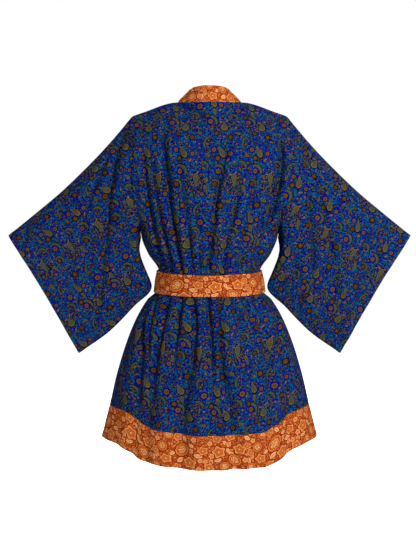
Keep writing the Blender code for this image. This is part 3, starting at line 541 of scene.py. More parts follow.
def sleeve_point(hand, along, turn, folded=True):
    """A point of a sleeve's inner face. turn is 0 at the top edge, pi at the lower one, back first."""
    fall = (1 - np.cos(turn)) / 2
    side = np.where(np.sin(turn) >= 0, 1.0, -1.0)
    at = {name: read(along) for name, read in station.items()}
    x = at["top_x"] + (at["low_x"] - at["top_x"]) * fall
    z = at["top_z"] + (at["low_z"] - at["top_z"]) * fall
    length = np.hypot(at["low_x"] - at["top_x"], at["low_z"] - at["top_z"])
    bow = CUFF_BOW * np.sin(np.pi * fall ** BOW_SHAPE) * smooth(BOW_FROM, 1.0, along)
    x, z = x - bow * BOW_IN, z + bow * BOW_UP
    at_body = 1 - smooth(0, LEAVES_BODY, along)
    start_z = -SHOULDER_DROP + (ARMPIT_Z + SHOULDER_DROP) * fall
    start_x = half_width(start_z) + armhole_gap(start_z)
    line_x = SHOULDER_HALF + (SLEEVE[0].low_x * MM - SHOULDER_HALF) * fall
    x = x + (start_x - line_x) * at_body
    bag = fall ** BAG_TOP * (1 - fall) ** BAG_LOW / BAG_PEAK
    seam = np.sqrt(1 - (1 - np.clip((1 - fall) * length / SLEEVE_SEAM_ROUND, 0, 1)) ** 2)
    own = at["fullness"] * bag + SLEEVE_SEAM_HALF * seam * smooth(0, SEAM_EDGE, fall)
    quarter = np.full(np.shape(fall), math.pi / 2)
    body = {s: np.abs(body_point(s, quarter, start_z, False)[..., 1]) for s in (BACK, FRONT)}
    from_body = np.hypot(np.where(side > 0, body[BACK], body[FRONT]), SLEEVE_SEAM_HALF * seam)
    half = own + (from_body - own) * at_body
    folds = 0
    if folded:
        seen_x = x * hand
        folds = np.where(side > 0, pressed_in(SLEEVE_CREASES_BACK, seen_x, z),
                         pressed_in(SLEEVE_CREASES_FRONT, seen_x, z))
        folds = folds + swell(seen_x + SWELL_SHIFT * side, z)
        # A crease never presses the two halves of a sleeve through each other
        room = FOLD_ROOM * half + 1e-9
        pressed = np.maximum(folds, 0)
        folds = np.minimum(folds, 0) * np.clip(half / RIDGE_ROOM, 0, 1) + pressed / (1 + pressed / room)
        folds = folds * smooth(0, FOLDS_FROM_ARMHOLE, along)
    y = side * (half - folds) - at["forward"]
    return np.stack([x * hand, y, z + 0 * x], -1)


# %% A sleeve's outward directions
def sleeve_normal(hand, along, turn):
    """The outward direction of a sleeve's cloth; at the armhole it stays in the seam's plane."""
    round_it = sleeve_point(hand, along, turn + SLEEVE_STEP) - sleeve_point(hand, along, turn - SLEEVE_STEP)
    low, high = np.maximum(along - SLEEVE_STEP, 0), np.minimum(along + SLEEVE_STEP, 1)
    outwards = sleeve_point(hand, high, turn) - sleeve_point(hand, low, turn)
    normal = unit(np.cross(outwards, round_it) * hand)
    at_armhole = (along < 1e-6)[..., None]
    return np.where(at_armhole, unit(normal * np.array([0, 1, 1])), normal)


# %% [markdown]
# ## One way to make a piece of cloth
#
# Every piece is a grid of points for its right side and a second grid just inside it for its wrong side,
# joined round the edges. Solidify could thicken a single sheet, but at a deep crease it would cross
# itself, and the seams would no longer meet.
#
# Each point also carries its place on the flat cloth in millimetres, measured along the cloth before it
# was creased, so the print runs round the body and into the folds as it does on the real robe. The third
# number tells the wrong side from the right one.

# %% The cloth builder
PLACE = "cloth_place"
SHARP_EDGE = math.radians(50)


def finish_piece(obj, node_name):
    """The piece rides on the robe's only body and stands for its solid."""
    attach(obj, "root")
    if node_name:
        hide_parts(node_name)
    print("%-26s %6d faces" % (obj.name, len(obj.data.polygons)))


def mesh_object(name, points, faces, material, place=None):
    """A new object; place gives each of its points a place on the flat cloth."""
    mesh = bpy.data.meshes.new(name)
    mesh.from_pydata(points.tolist(), [], faces)
    mesh.materials.append(material)
    if place is not None:
        layer = mesh.attributes.new(PLACE, "FLOAT_VECTOR", "POINT")
        layer.data.foreach_set("vector", place.astype(np.float32).ravel())
        mesh.shade_smooth()
    obj = bpy.data.objects.new(name, mesh)
    bpy.context.scene.collection.objects.link(obj)
    return obj


def outwards(points, faces):
    """True if the faces of a closed form look outwards."""
    a, b, c, d = (points[faces[:, k]] for k in range(4))
    return float(np.einsum("ij,ij->", a + c, np.cross(c - a, d - b))) > 0


# %% A shell of cloth
shells = {}


def cloth(name, outer, inner, place, material, closed=False):
    """A closed thin shell between two grids of points, rows by columns."""
    shells[name] = outer, inner
    rows, columns = outer.shape[:2]
    count = rows * columns
    index = np.arange(count).reshape(rows, columns)
    if closed:
        index = np.concatenate([index, index[:, :1]], 1)
    grid = np.stack([index[:-1, :-1], index[1:, :-1], index[1:, 1:], index[:-1, 1:]], -1).reshape(-1, 4)
    top = np.stack([index[0, :-1], index[0, 1:], index[0, 1:] + count, index[0, :-1] + count], -1)
    low = np.stack([index[-1, 1:], index[-1, :-1], index[-1, :-1] + count, index[-1, 1:] + count], -1)
    faces = [grid, grid[:, ::-1] + count, top, low]
    if not closed:
        faces.append(np.stack([index[1:, 0], index[:-1, 0], index[:-1, 0] + count, index[1:, 0] + count], -1))
        faces.append(np.stack([index[:-1, -1], index[1:, -1], index[1:, -1] + count, index[:-1, -1] + count], -1))
    faces = np.concatenate(faces)
    points = np.concatenate([outer.reshape(-1, 3), inner.reshape(-1, 3)])
    if not outwards(points, faces):
        faces = faces[:, ::-1]
    flat = np.concatenate([place, place]).reshape(-1, 2)
    wrong_side = np.repeat([0.0, 1.0], count)[:, None]
    obj = mesh_object(name, points, faces.tolist(), material, np.concatenate([flat, wrong_side], 1))
    obj.data.set_sharp_from_angle(angle=SHARP_EDGE)
    obj.data.update()
    return obj


# %% [markdown]
# ## Places on the flat cloth
#
# The print's place on a panel is found by walking over the uncreased form: across from the middle, and
# up or down from the level of the chest. The anchors then slide the repeat to where the picture has it.


# %% Flat places
def walked(points, axis):
    """The distance walked along a grid's rows or columns, in mm, from its first line."""
    steps = np.linalg.norm(np.diff(points, axis=axis), axis=-1)
    start = np.zeros_like(np.take(steps, [0], axis=axis))
    return np.concatenate([start, np.cumsum(steps, axis=axis)], axis=axis) / MM


LEVEL_FROM = -120 * MM
CHEST_LEVEL = -200 * MM
BODICE_ANCHOR, SKIRT_ANCHOR = np.array([33.2, 124.5]), np.array([41.3, -4.5])
ABOVE_CHEST = 0.955
WALK_STEPS = 40


def panel_place(side, across, z):
    """Flat place of a panel's grid: mm to the viewer's right of the mid-line, and mm down from the chest."""
    across, z = np.broadcast_arrays(across, z)
    fine = np.linspace(0, 1, WALK_STEPS)[:, None, None]
    level = np.minimum(z, LEVEL_FROM)
    arc = body_point(side, across * fine, level + 0 * fine, False)
    right = np.linalg.norm(np.diff(arc, axis=0), axis=-1).sum(0) / MM * -side * np.sign(across)
    down = walked(body_point(side, across, z, False), 0)
    for k in range(z.shape[1]):
        down[:, k] -= np.interp(-CHEST_LEVEL, -z[:, k], down[:, k])
    down = np.where(down < 0, down * ABOVE_CHEST, down)
    under_belt = smooth(BELT_TOP, BELT_TOP - BELT_WIDTH, z)[..., None]
    return np.stack([right, down], -1) - BODICE_ANCHOR * (1 - under_belt) - SKIRT_ANCHOR * under_belt

# %% [markdown]
# ## How the two prints are made
#
# Both cloths are polyester satin, printed before they were cut. A photograph of the print can't be used,
# and a painted image would be soft at close range. So each print is drawn by nodes, from a short chart of
# its repeat: where each motif lies in the repeat, how large it is, and how far it is turned. The motifs
# are ordinary ones: round flowers, leaves, paisley drops, crescents and sprays of dots.
#
# For each kind of motif the nodes find the nearest one, and keep the place inside it, where 1 is its edge.
# Its rings and petals are then drawn only once for the whole kind, as inks printed over each other.

# %% Node helpers
def ink(code):
    """A printer's sRGB hex colour as a linear one."""
    parts = [int(code[k: k + 2], 16) / 255 for k in (1, 3, 5)]
    return (*(p / 12.92 if p <= 0.04045 else ((p + 0.055) / 1.055) ** 2.4 for p in parts), 1.0)


def add(kind, *values, out=0, named=None, **settings):
    """Adds a node with its settings, fills or links its inputs in order or by name, and gives one output."""
    node = tree.nodes.new("ShaderNode" + kind)
    for name, value in settings.items():
        setattr(node, name, value)
    filled = list(zip([s for s in node.inputs if s.enabled], values))
    filled += [(node.inputs[name], value) for name, value in (named or {}).items()]
    for socket, value in filled:
        if isinstance(value, bpy.types.NodeSocket):
            tree.links.new(value, socket)
        elif value is not None:
            socket.default_value = value
    outputs = [s for s in node.outputs if s.enabled]
    return outputs[out] if outputs else None


# %% Motifs


Motif = namedtuple("Motif", "u v wide high turn")


def nearest(place, motifs, repeat):
    """The place inside the nearest motif of a kind, and how far it is from the middle; 1 is the edge."""
    inside = near = None
    for m in motifs:
        low = (m.u - repeat[0] / 2, m.v - repeat[1] / 2, -1)
        high = (m.u + repeat[0] / 2, m.v + repeat[1] / 2, 1)
        wrapped = add("VectorMath", place, high, low, operation="WRAP")
        own = add("Mapping", wrapped, (m.u, m.v, 0), (0, 0, math.radians(m.turn)), (m.wide, m.high, 1),
                  vector_type="TEXTURE")
        away = add("VectorMath", own, operation="LENGTH")
        if inside is None:
            inside, near = own, away
            continue
        closer = add("Math", away, near, operation="LESS_THAN")
        inside = add("Mix", closer, inside, own, data_type="VECTOR")
        near = add("Math", away, near, operation="MINIMUM")
    return inside, near


def petalled(inside, near, petals, depth):
    """The distance from the middle of a flower whose edge is scalloped into petals."""
    parts = add("SeparateXYZ", inside), add("SeparateXYZ", inside, out=1)
    angle = add("Math", parts[1], parts[0], operation="ARCTAN2")
    lobes = add("Math", add("Math", angle, petals, operation="MULTIPLY"), operation="COSINE")
    return add("Math", near, add("Math", lobes, depth, 1.0, operation="MULTIPLY_ADD"), operation="MULTIPLY")


def spots(place, spacing, size, seed):
    """Small round dots strewn at about that spacing, in mm."""
    moved = add("VectorMath", place, (seed, seed * 1.7, 0), operation="ADD")
    away = add("TexVoronoi", moved, 1 / spacing, voronoi_dimensions="2D")
    return add("Math", away, size / spacing, operation="LESS_THAN")


def discs(colour, away, *steps):
    """Prints discs over each other, widest first; a step is its edge, as a share of the motif, and its ink."""
    for edge, fill in steps:
        colour = add("Mix", add("Math", away, edge, operation="LESS_THAN"), colour, fill, data_type="RGBA")
    return colour


# %% [markdown]
# ## The blue print's repeat
#
# One repeat is 87 mm wide and 268 mm long. u runs to the right and v down, in millimetres from the
# middle of the flower at its top. The ground is royal blue, overgrown with small teal tendrils, and the
# cloth is left deep blue close round each motif.

# %% Chart of the blue print
BLUE_REPEAT = (87.4, 268.0)
BROWN_FLOWERS = (
    Motif(14.8, 28.9, 5.6, 5.6, 0), Motif(-14.8, 75.5, 5.6, 5.6, 10), Motif(-22.7, 132.0, 5.2, 5.2, 25),
    Motif(-9.2, 180.5, 6.4, 6.4, 5), Motif(49.6, 244.5, 5.4, 5.4, 30), Motif(-17.2, 19.9, 4.6, 4.6, 15),
)
OCHRE_FLOWERS = (
    Motif(-23.0, 57.0, 5.0, 5.0, 0), Motif(15.2, 66.0, 4.9, 4.9, 20), Motif(37.0, 154.5, 4.6, 4.6, 8),
    Motif(-7.6, 215.0, 4.6, 4.6, 0), Motif(33.0, 219.0, 6.6, 6.6, 12), Motif(-14.0, 104.0, 5.8, 5.8, 0),
    Motif(-31.0, 259.0, 5.8, 5.8, 30),
)
CRESCENTS = (
    # Those round the ringed flowers, the arches, and the two tall hooks
    Motif(-13.0, 104.0, 15.0, 15.0, -45), Motif(-22.0, 133.0, 12.0, 12.0, -40), Motif(-30.0, 259.0, 15.0, 15.0, -45),
    Motif(39.5, 94.0, 13.0, 12.5, -48), Motif(20.0, 243.0, 13.0, 12.5, -48),
    Motif(50.5, 42.0, 10.0, 14.5, -160), Motif(26.5, 191.0, 10.0, 14.5, -160),
)
DROPS = (
    # Pointed at their far end: the hanging buds, the paisley drops and the single leaves
    Motif(22.9, 124.0, 16.0, 7.4, 90), Motif(0.0, 1.0, 11.5, 9.5, -90),
    Motif(-6.5, 61.0, 14.5, 7.6, -119), Motif(-25.0, 209.0, 14.0, 7.2, -108),
    Motif(30.4, 19.0, 7.4, 3.6, -165), Motif(6.0, 170.5, 8.6, 4.2, -168), Motif(-21.6, 236.0, 10.0, 4.8, 82),
    Motif(51.5, 66.5, 7.0, 3.8, -100), Motif(46.0, 145.0, 12.0, 4.4, 70),
)
SPRAYS = (
    # Clouds of small dots round the buds, inside the hooks and arches, and the star flower
    Motif(22.0, 133.0, 25.0, 24.0, 0), Motif(-13.0, -2.0, 25.0, 15.0, 0), Motif(14.0, -8.0, 14.0, 10.0, 0),
    Motif(50.5, 42.0, 7.0, 11.0, 0), Motif(26.5, 191.0, 7.0, 11.0, 0),
    Motif(38.5, 95.0, 7.0, 7.0, 0), Motif(19.0, 243.0, 7.0, 7.0, 0), Motif(-21.0, 157.5, 9.0, 9.0, 0),
)
BEANS = (
    Motif(27.0, 4.0, 2.2, 3.6, 30), Motif(9.5, 80.0, 5.2, 2.4, -48), Motif(-10.0, 227.0, 5.0, 2.4, -50),
    Motif(43.3, 226.0, 3.4, 2.4, 0), Motif(47.5, 123.0, 2.4, 4.0, 0), Motif(-1.0, 28.0, 2.2, 2.2, 0),
    Motif(23.5, 83.5, 2.6, 2.6, 0), Motif(33.0, -12.5, 2.8, 2.8, 0), Motif(-23.0, 184.0, 2.6, 2.6, 0),
    Motif(22.0, 39.5, 2.0, 2.0, 0), Motif(49.0, 171.0, 1.8, 3.4, 0),
    # The pairs of small leaves that stand on the buds
    Motif(14.0, 111.5, 4.4, 1.9, 8), Motif(26.5, 107.5, 4.4, 1.9, -58),
    Motif(-7.0, -9.5, 4.4, 1.9, 4), Motif(6.0, -14.0, 4.4, 1.9, -50),
)
ROYAL, DEEP_BLUE, TEAL = ink("#030137"), ink("#01010a"), ink("#022a37")
OLIVE, OLIVE_LIGHT = ink("#171f19"), ink("#2b2b19")
BROWN, BROWN_LIGHT = ink("#1c0d03"), ink("#2b190a")
OCHRE, CREAM = ink("#36240b"), ink("#392c11")
print("blue print:", sum(map(len, (BROWN_FLOWERS, OCHRE_FLOWERS, CRESCENTS, DROPS, SPRAYS, BEANS))), "motifs")


# %% [markdown]
# ## Satin under the print
#
# Satin's long floating threads make it smooth. The photograph shows no gloss on it, and on inks this dark
# even a faint mirror image of the white studio turns every far edge grey, so the mirror reflection is left
# at nothing. A real thread is a tenth of a millimetre, far too fine to show, so the twill lines are drawn
# 0.9 mm apart. Low crumples, some 13 mm across, keep the surface from looking ironed.

# %% The satin surface
POLYESTER_IOR, MIRROR, ROUGH = 1.57, 0.0, 0.5
THREAD_LINES, CRUMPLES = 0.9, 13.0
THREAD_HEIGHT, CRUMPLE_HEIGHT = 0.03, 12.0
RELIEF_STRENGTH, RELIEF_DEPTH = 0.55, 0.12 * MM
WRONG_SIDE = 0.62
BLUE_WRONG_SIDE, RUST_WRONG_SIDE = ink("#262f4d"), ink("#7d4d2f")


def start(name):
    """An empty node material and its output; its nodes go into tree."""
    global tree
    material = bpy.data.materials.new(name)
    material.use_nodes = True
    tree = material.node_tree
    tree.nodes.clear()
    return material


def cloth_places():
    """The place on the flat cloth in mm, and 1 on the wrong side."""
    place = add("Attribute", out=1, attribute_name=PLACE)
    right, down, wrong = (add("SeparateXYZ", place, out=k) for k in range(3))
    return add("CombineXYZ", right, down, 0), right, down, wrong


def satin(colour, place, right, down, wrong, wrong_colour):
    """Ends a material: the wrong side is plainer, and threads and crumples stand in the surface."""
    colour = add("Mix", add("Math", wrong, WRONG_SIDE, operation="MULTIPLY"), colour, wrong_colour, data_type="RGBA")
    twill = add("Math", add("Math", right, down, operation="ADD"), 2 * math.pi / THREAD_LINES, operation="MULTIPLY")
    threads = add("Math", add("Math", twill, operation="SINE"), THREAD_HEIGHT, operation="MULTIPLY")
    crumple = add("TexNoise", place, 1 / CRUMPLES, 2.0, noise_dimensions="2D")
    height = add("Math", crumple, CRUMPLE_HEIGHT, threads, operation="MULTIPLY_ADD")
    normal = add("Bump", named={"Strength": RELIEF_STRENGTH, "Distance": RELIEF_DEPTH, "Height": height})
    surface = add("BsdfPrincipled", colour, named={
        "Normal": normal, "Roughness": ROUGH, "IOR": POLYESTER_IOR, "Specular IOR Level": MIRROR})
    add("OutputMaterial", surface)


# %% Blue print: ground
TENDRILS, PATCHES, TONES = 4.2, 21, 6
blue_satin = start("printed_blue_satin")
place, right, down, wrong = cloth_places()

# Teal tendrils, 3 to 4 mm apart, on royal blue; they are thinner in some patches
wander = add("TexNoise", place, 1 / TENDRILS, 1.0, noise_dimensions="2D")
growth = add("MapRange", wander, 0.48, 0.53, 0.0, 1.0)
patch = add("TexNoise", place, 1 / PATCHES, 0.0, noise_dimensions="2D")
growth = add("Math", growth, add("MapRange", patch, 0.34, 0.62, 0.45, 1.0), operation="MULTIPLY")
colour = add("Mix", growth, ROYAL, TEAL, data_type="RGBA")

# %% Blue print: dots
# Strewn dots, brown to cream, then the clouds of finer ones. spots() takes spacing, size and a seed
tone = add("MapRange", add("TexNoise", place, 1 / TONES, 0.0, noise_dimensions="2D"), 0.40, 0.60, 0.0, 1.0)
seed = add("Mix", tone, BROWN, CREAM, data_type="RGBA")
for dots, fill in ((spots(place, 9.0, 1.1, 3), seed),
                   (spots(place, 11.0, 2.8, 40), DEEP_BLUE),
                   (spots(place, 11.0, 1.9, 40), seed)):
    colour = add("Mix", dots, colour, fill, data_type="RGBA")
inside, near = nearest(place, SPRAYS, BLUE_REPEAT)
cloud = add("Math", near, 1.0, operation="LESS_THAN")
colour = add("Mix", add("Math", cloud, 0.45, operation="MULTIPLY"), colour, DEEP_BLUE, data_type="RGBA")
for dots, fill in ((spots(place, 5.4, 1.3, 11), seed), (spots(place, 8.0, 1.0, 70), CREAM)):
    colour = add("Mix", add("Math", dots, cloud, operation="MULTIPLY"), colour, fill, data_type="RGBA")

# %% Blue print: crescents
# A disc less one that is moved to its open side, with the thin ends cut off
inside, near = nearest(place, CRESCENTS, BLUE_REPEAT)
hollow = add("VectorMath", add("VectorMath", inside, (-0.46, 0, 0), operation="SUBTRACT"), operation="LENGTH")
ends = add("Math", add("SeparateXYZ", inside), 0.2, operation="GREATER_THAN")
disc = add("Math", add("Math", near, 1.0, operation="LESS_THAN"), ends, operation="MULTIPLY")
gap = add("Math", add("Math", near, 1.12, operation="LESS_THAN"),
          add("Math", hollow, 0.9, operation="GREATER_THAN"), operation="MULTIPLY")
gap = add("Math", gap, ends, operation="MULTIPLY")
blade = add("Math", disc, add("Math", hollow, 1.0, operation="GREATER_THAN"), operation="MULTIPLY")
vein = add("Math", blade, spots(place, 3.4, 1.0, 23), operation="MULTIPLY")
for part, fill in ((gap, DEEP_BLUE), (blade, OLIVE), (vein, OLIVE_LIGHT)):
    colour = add("Mix", part, colour, fill, data_type="RGBA")

# %% Blue print: drops
# Widest near the round end, with a light outline, olive inside, a brown heart and a few dots
inside, near = nearest(place, DROPS, BLUE_REPEAT)
length, breadth = (add("SeparateXYZ", inside, out=k) for k in (0, 1))
taper = add("MapRange", length, -0.5, 1.0, 1.0, 0.12)
breadth = add("Math", breadth, taper, operation="DIVIDE")
drop = add("VectorMath", add("CombineXYZ", length, breadth, 0), operation="LENGTH")
colour = discs(colour, drop, (1.22, DEEP_BLUE), (1.0, OLIVE_LIGHT), (0.78, OLIVE))
heart = add("VectorMath", add("VectorMath", inside, (-0.45, 0, 0), operation="SUBTRACT"), operation="LENGTH")
colour = discs(colour, heart, (0.28, BROWN_LIGHT))
stipple = add("Math", spots(place, 3.6, 0.8, 50), add("Math", drop, 0.9, operation="LESS_THAN"), operation="MULTIPLY")
colour = add("Mix", stipple, colour, CREAM, data_type="RGBA")

# %% Blue print: flowers
# Brown ones: a deep blue gap, a scalloped brown edge, a lighter ring, and an eye from brown to cream
inside, near = nearest(place, BROWN_FLOWERS, BLUE_REPEAT)
flower = petalled(inside, near, 7, 0.07)
colour = discs(colour, near, (1.3, DEEP_BLUE))
colour = discs(colour, flower, (1.0, BROWN))
colour = add("Mix", add("Math", flower, 0.6, 0.2, operation="COMPARE"), colour, BROWN_LIGHT, data_type="RGBA")
colour = discs(colour, near, (0.26, seed))

# Ochre ones: brighter, with a dark eye and a pale point in it
inside, near = nearest(place, OCHRE_FLOWERS, BLUE_REPEAT)
flower = petalled(inside, near, 6, 0.09)
colour = discs(colour, near, (1.5, ROYAL))
colour = discs(colour, flower, (1.0, BROWN), (0.86, OCHRE), (0.46, BROWN))
colour = discs(colour, near, (0.18, CREAM))

# %% Blue print: beans and loose petals
inside, near = nearest(place, BEANS, BLUE_REPEAT)
colour = discs(colour, near, (1.3, ROYAL), (0.9, CREAM))
satin(colour, place, right, down, wrong, BLUE_WRONG_SIDE)
print("printed blue satin:", len(tree.nodes), "nodes")

# %% [markdown]
# ## The rust print's repeat
#
# The rust cloth is much busier: flowers 10 to 30 mm across touch each other, and the dark ground shows
# only as outlines between them. One repeat is 210 mm wide. Its chart starts from a round daisy.

# %% Chart of the rust print
RUST_REPEAT = (210.0, 96.0)
RINGED = (
    Motif(0, 0, 11.0, 11.0, 0), Motif(42, 4.6, 17.0, 13.5, -35), Motif(136, 38, 10.0, 9.5, 0),
    Motif(87, -35, 9.0, 8.5, 10), Motif(160, 26.5, 15.5, 11.0, 35), Motif(12, -27, 9.5, 9.0, 0),
    Motif(196, 45, 10.5, 10.0, 20), Motif(52, -41, 10.0, 9.0, 0), Motif(171, -40, 10.0, 10.0, 0),
)
BLOOMS = (
    Motif(124, 5.5, 12.5, 12.0, 0), Motif(61, 31, 13.0, 11.0, 15), Motif(8, 27, 10.5, 9.0, 0),
    Motif(171, 2, 12.0, 10.0, 20), Motif(89, 2, 10.0, 8.5, 0), Motif(186, -6, 7.5, 7.0, 0),
    Motif(102, 42, 11.0, 9.5, 40), Motif(-16, 10, 8.0, 7.0, 60), Motif(31, -24, 9.0, 8.5, 0),
    Motif(150, -28, 11.0, 9.5, 0), Motif(119, -25, 9.5, 9.0, 30), Motif(30, 46, 9.5, 8.5, 0),
)
BUDS = (
    Motif(63, 4, 5.4, 5.4, 0), Motif(94, 27, 5.2, 5.2, 0), Motif(107, 28, 5.2, 5.2, 0), Motif(108, 15, 5.8, 5.8, 0),
    Motif(146, -11, 6.0, 6.0, 0), Motif(-11, -16, 5.4, 5.2, 0), Motif(-8, 42, 6.0, 6.0, 0), Motif(83, 24, 5.0, 5.0, 0),
    Motif(182, 26, 5.6, 5.6, 0), Motif(69, -22, 5.8, 5.6, 0), Motif(104, -14, 5.4, 5.4, 0), Motif(80, 44, 5.4, 5.4, 0),
    Motif(160, 46, 5.4, 5.4, 0), Motif(-16, -34, 5.8, 5.4, 0), Motif(198, 21, 5.0, 5.0, 0),
)
PALE_LEAVES = (
    Motif(79, 13.5, 9.0, 4.2, 12), Motif(144, 3, 6.0, 3.4, 60), Motif(152, 11, 8.0, 3.4, 20),
    Motif(37.5, 28, 9.0, 4.6, -30), Motif(-20, 28, 8.5, 4.2, 70), Motif(64, -8, 6.0, 3.4, 20),
    Motif(21, 13, 6.5, 3.4, -50), Motif(122, 24, 8.0, 3.8, -20), Motif(137, -15, 6.5, 3.2, 60),
    Motif(48, -22, 7.0, 3.6, 50), Motif(104, -36, 7.0, 3.6, -60), Motif(188, 12, 7.0, 3.2, -15),
    Motif(70, 46, 6.0, 3.4, 80), Motif(-6, -41, 7.0, 3.4, 10), Motif(186, -24, 7.5, 3.8, 40),
)
GROUND_RUST, OUTLINE = ink("#511903"), ink("#460d01")
PETAL, PETAL_LIGHT = ink("#733d19"), ink("#7d4f2c")
BEAD, LEAF = ink("#7c603f"), ink("#652f0c")
print("rust print:", sum(map(len, (RINGED, BLOOMS, BUDS, PALE_LEAVES))), "motifs")

# %% Rust print: ground
FILLER_PETALS, MOTTLE = 7.0, 6.0
PALE_LINES, DARK_LINES = 4.4, 7.5
rust_satin = start("printed_rust_satin")
place, right, down, wrong = cloth_places()

# Filler petals, 7 mm across, orange to russet, with dark lines between them
cells = add("TexVoronoi", place, 1 / FILLER_PETALS, voronoi_dimensions="2D", feature="DISTANCE_TO_EDGE")
mottle = add("MapRange", add("TexNoise", place, 1 / MOTTLE, 1.0, noise_dimensions="2D"), 0.42, 0.58, 0.0, 1.0)
colour = add("Mix", mottle, GROUND_RUST, PETAL, data_type="RGBA")
colour = discs(colour, cells, (0.15, GROUND_RUST), (0.09, OUTLINE))

# Pale and dark lines inside the petals
wave = add("TexNoise", place, 1 / PALE_LINES, 0.0, noise_dimensions="2D")
pale_line = add("Math", wave, 0.50, 0.022, operation="COMPARE")
wave = add("TexNoise", place, 1 / DARK_LINES, 1.0, noise_dimensions="2D")
dark_line = add("Math", wave, 0.44, 0.02, operation="COMPARE")
for part, fill in ((pale_line, PETAL_LIGHT), (dark_line, OUTLINE)):
    colour = add("Mix", part, colour, fill, data_type="RGBA")

# %% Rust print: leaves and buds
# Pale leaves with a rib
inside, near = nearest(place, PALE_LEAVES, RUST_REPEAT)
length, breadth = (add("SeparateXYZ", inside, out=k) for k in (0, 1))
pointed = add("Math", add("Math", length, operation="ABSOLUTE"), -0.45, 1.15, operation="MULTIPLY_ADD")
leaf = add("VectorMath", add("CombineXYZ", length, add("Math", breadth, pointed, operation="DIVIDE"), 0),
           operation="LENGTH")
colour = discs(colour, leaf, (1.35, OUTLINE), (1.0, BEAD), (0.66, PETAL_LIGHT))
rib = add("Math", add("Math", breadth, 0.0, 0.13, operation="COMPARE"),
          add("Math", leaf, 0.8, operation="LESS_THAN"), operation="MULTIPLY")
colour = add("Mix", rib, colour, LEAF, data_type="RGBA")

# Buds: five petals round a dark eye
inside, near = nearest(place, BUDS, RUST_REPEAT)
flower = petalled(inside, near, 5, 0.14)
colour = discs(colour, flower, (1.3, OUTLINE), (1.0, PETAL_LIGHT))
colour = add("Mix", add("Math", flower, 0.5, 0.1, operation="COMPARE"), colour, LEAF, data_type="RGBA")
colour = discs(colour, flower, (0.2, OUTLINE))

# %% Rust print: blooms
# Broad petals, lined from the middle outwards, with a paler edge
inside, near = nearest(place, BLOOMS, RUST_REPEAT)
flower = petalled(inside, near, 5, 0.16)
colour = discs(colour, flower, (1.19, OUTLINE), (1.0, PETAL_LIGHT), (0.86, PETAL))
colour = add("Mix", add("Math", flower, 0.56, 0.05, operation="COMPARE"), colour, GROUND_RUST, data_type="RGBA")
rays = petalled(inside, near, 15, 0.5)
rays = add("Math", add("Math", rays, 0.52, 0.10, operation="COMPARE"),
           add("Math", near, 0.75, operation="LESS_THAN"), operation="MULTIPLY")
colour = add("Mix", rays, colour, GROUND_RUST, data_type="RGBA")
colour = discs(colour, near, (0.26, OUTLINE), (0.17, BEAD))

# %% Rust print: ringed daisies
# A scalloped edge, a ring of pale beads, and a stippled middle
inside, near = nearest(place, RINGED, RUST_REPEAT)
flower = petalled(inside, near, 11, 0.05)
colour = discs(colour, flower, (1.17, OUTLINE), (1.0, PETAL))
petal_line = add("Math", flower, 0.78, 0.04, operation="COMPARE")
middle = add("Math", near, 0.68, operation="LESS_THAN")
beads = add("Math", spots(place, 2.9, 1.0, 5), middle, operation="MULTIPLY")
edge_line = add("Math", near, 0.68, 0.035, operation="COMPARE")
for part, fill in ((petal_line, GROUND_RUST), (middle, LEAF), (beads, BEAD), (edge_line, OUTLINE)):
    colour = add("Mix", part, colour, fill, data_type="RGBA")
satin(colour, place, right, down, wrong, RUST_WRONG_SIDE)
print("printed rust satin:", len(tree.nodes), "nodes")

# %% [markdown]
# ## Seams and hems in the surface
#
# Where two pieces are sewn together, the cloth dips into the seam. Where an edge is turned under and
# stitched, it is a little thicker. Both are made in the surface, a few tenths of a millimetre at most,
# because they catch the light along the whole edge.

# %% Seam and hem relief
SEAM_DIP, SEAM_REACH = 0.7 * MM, 3.0 * MM
HEM_DEPTH, HEM_RISE, HEM_STEP = 12 * MM, 0.4 * MM, 1.5 * MM
PUCKER, PUCKER_REACH = 0.45 * MM, 7 * MM
PUCKER_WAVES = ((2.9, 0), (4.7, 1), (7.9, 2))
HALF_TURN = math.pi / 2


def seam_dip(distance):
    """The cloth sinks into a seam."""
    return -SEAM_DIP * np.exp(-((distance / SEAM_REACH) ** 2))


def turned_hem(distance, along_mm):
    """The turned edge stands proud, and the stitching puckers it a little."""
    rise = HEM_RISE * (1 - smooth(HEM_DEPTH - HEM_STEP, HEM_DEPTH + HEM_STEP, distance))
    waves = sum(np.sin(along_mm / length + start) for length, start in PUCKER_WAVES)
    return rise + PUCKER / len(PUCKER_WAVES) * waves * np.exp(-(((distance - HEM_DEPTH) / PUCKER_REACH) ** 2))


# %% [markdown]
# ## The back
#
# One wide panel from the shoulder seams to the border's seam, and the border below it. The panel's rows
# are close together at the top, where the cloth turns over the shoulder, and 4 mm apart below.

# %% Panels and borders
NEAR_TOP, CLOSER_UP = 0.08, 1.6
PANEL_ROWS = np.concatenate([NEAR_TOP * np.linspace(0, 1, 20, endpoint=False) ** CLOSER_UP,
                             np.linspace(NEAR_TOP, 1, 176)])
BORDER_ROWS = np.linspace(0, 1, 24)
RUST_CLOSE_UP, BORDER_DAISY = 0.942, np.array([-103.7, 31.0])


def panel_heights(side, across):
    """From the shoulder seam down to the border's seam."""
    top = shoulder_line(np.abs(np.sin(across)) * SHOULDER_HALF)
    return top + (border_seam[side](across) - top) * PANEL_ROWS[:, None]


def border_heights(side, across):
    """From the seam down; the two sewn edges meet, so that no daylight shows between them."""
    return border_seam[side](across) - BORDER_HEIGHT * BORDER_ROWS[:, None]


def side_dip(side, across, z):
    """The side seam and the armhole dip in, and the panel's lower edge too."""
    to_side = (HALF_TURN - np.abs(across)) * body_depth[side](z)
    to_border = z - border_seam[side](across)
    return seam_dip(to_side), seam_dip(np.maximum(to_border, 0))


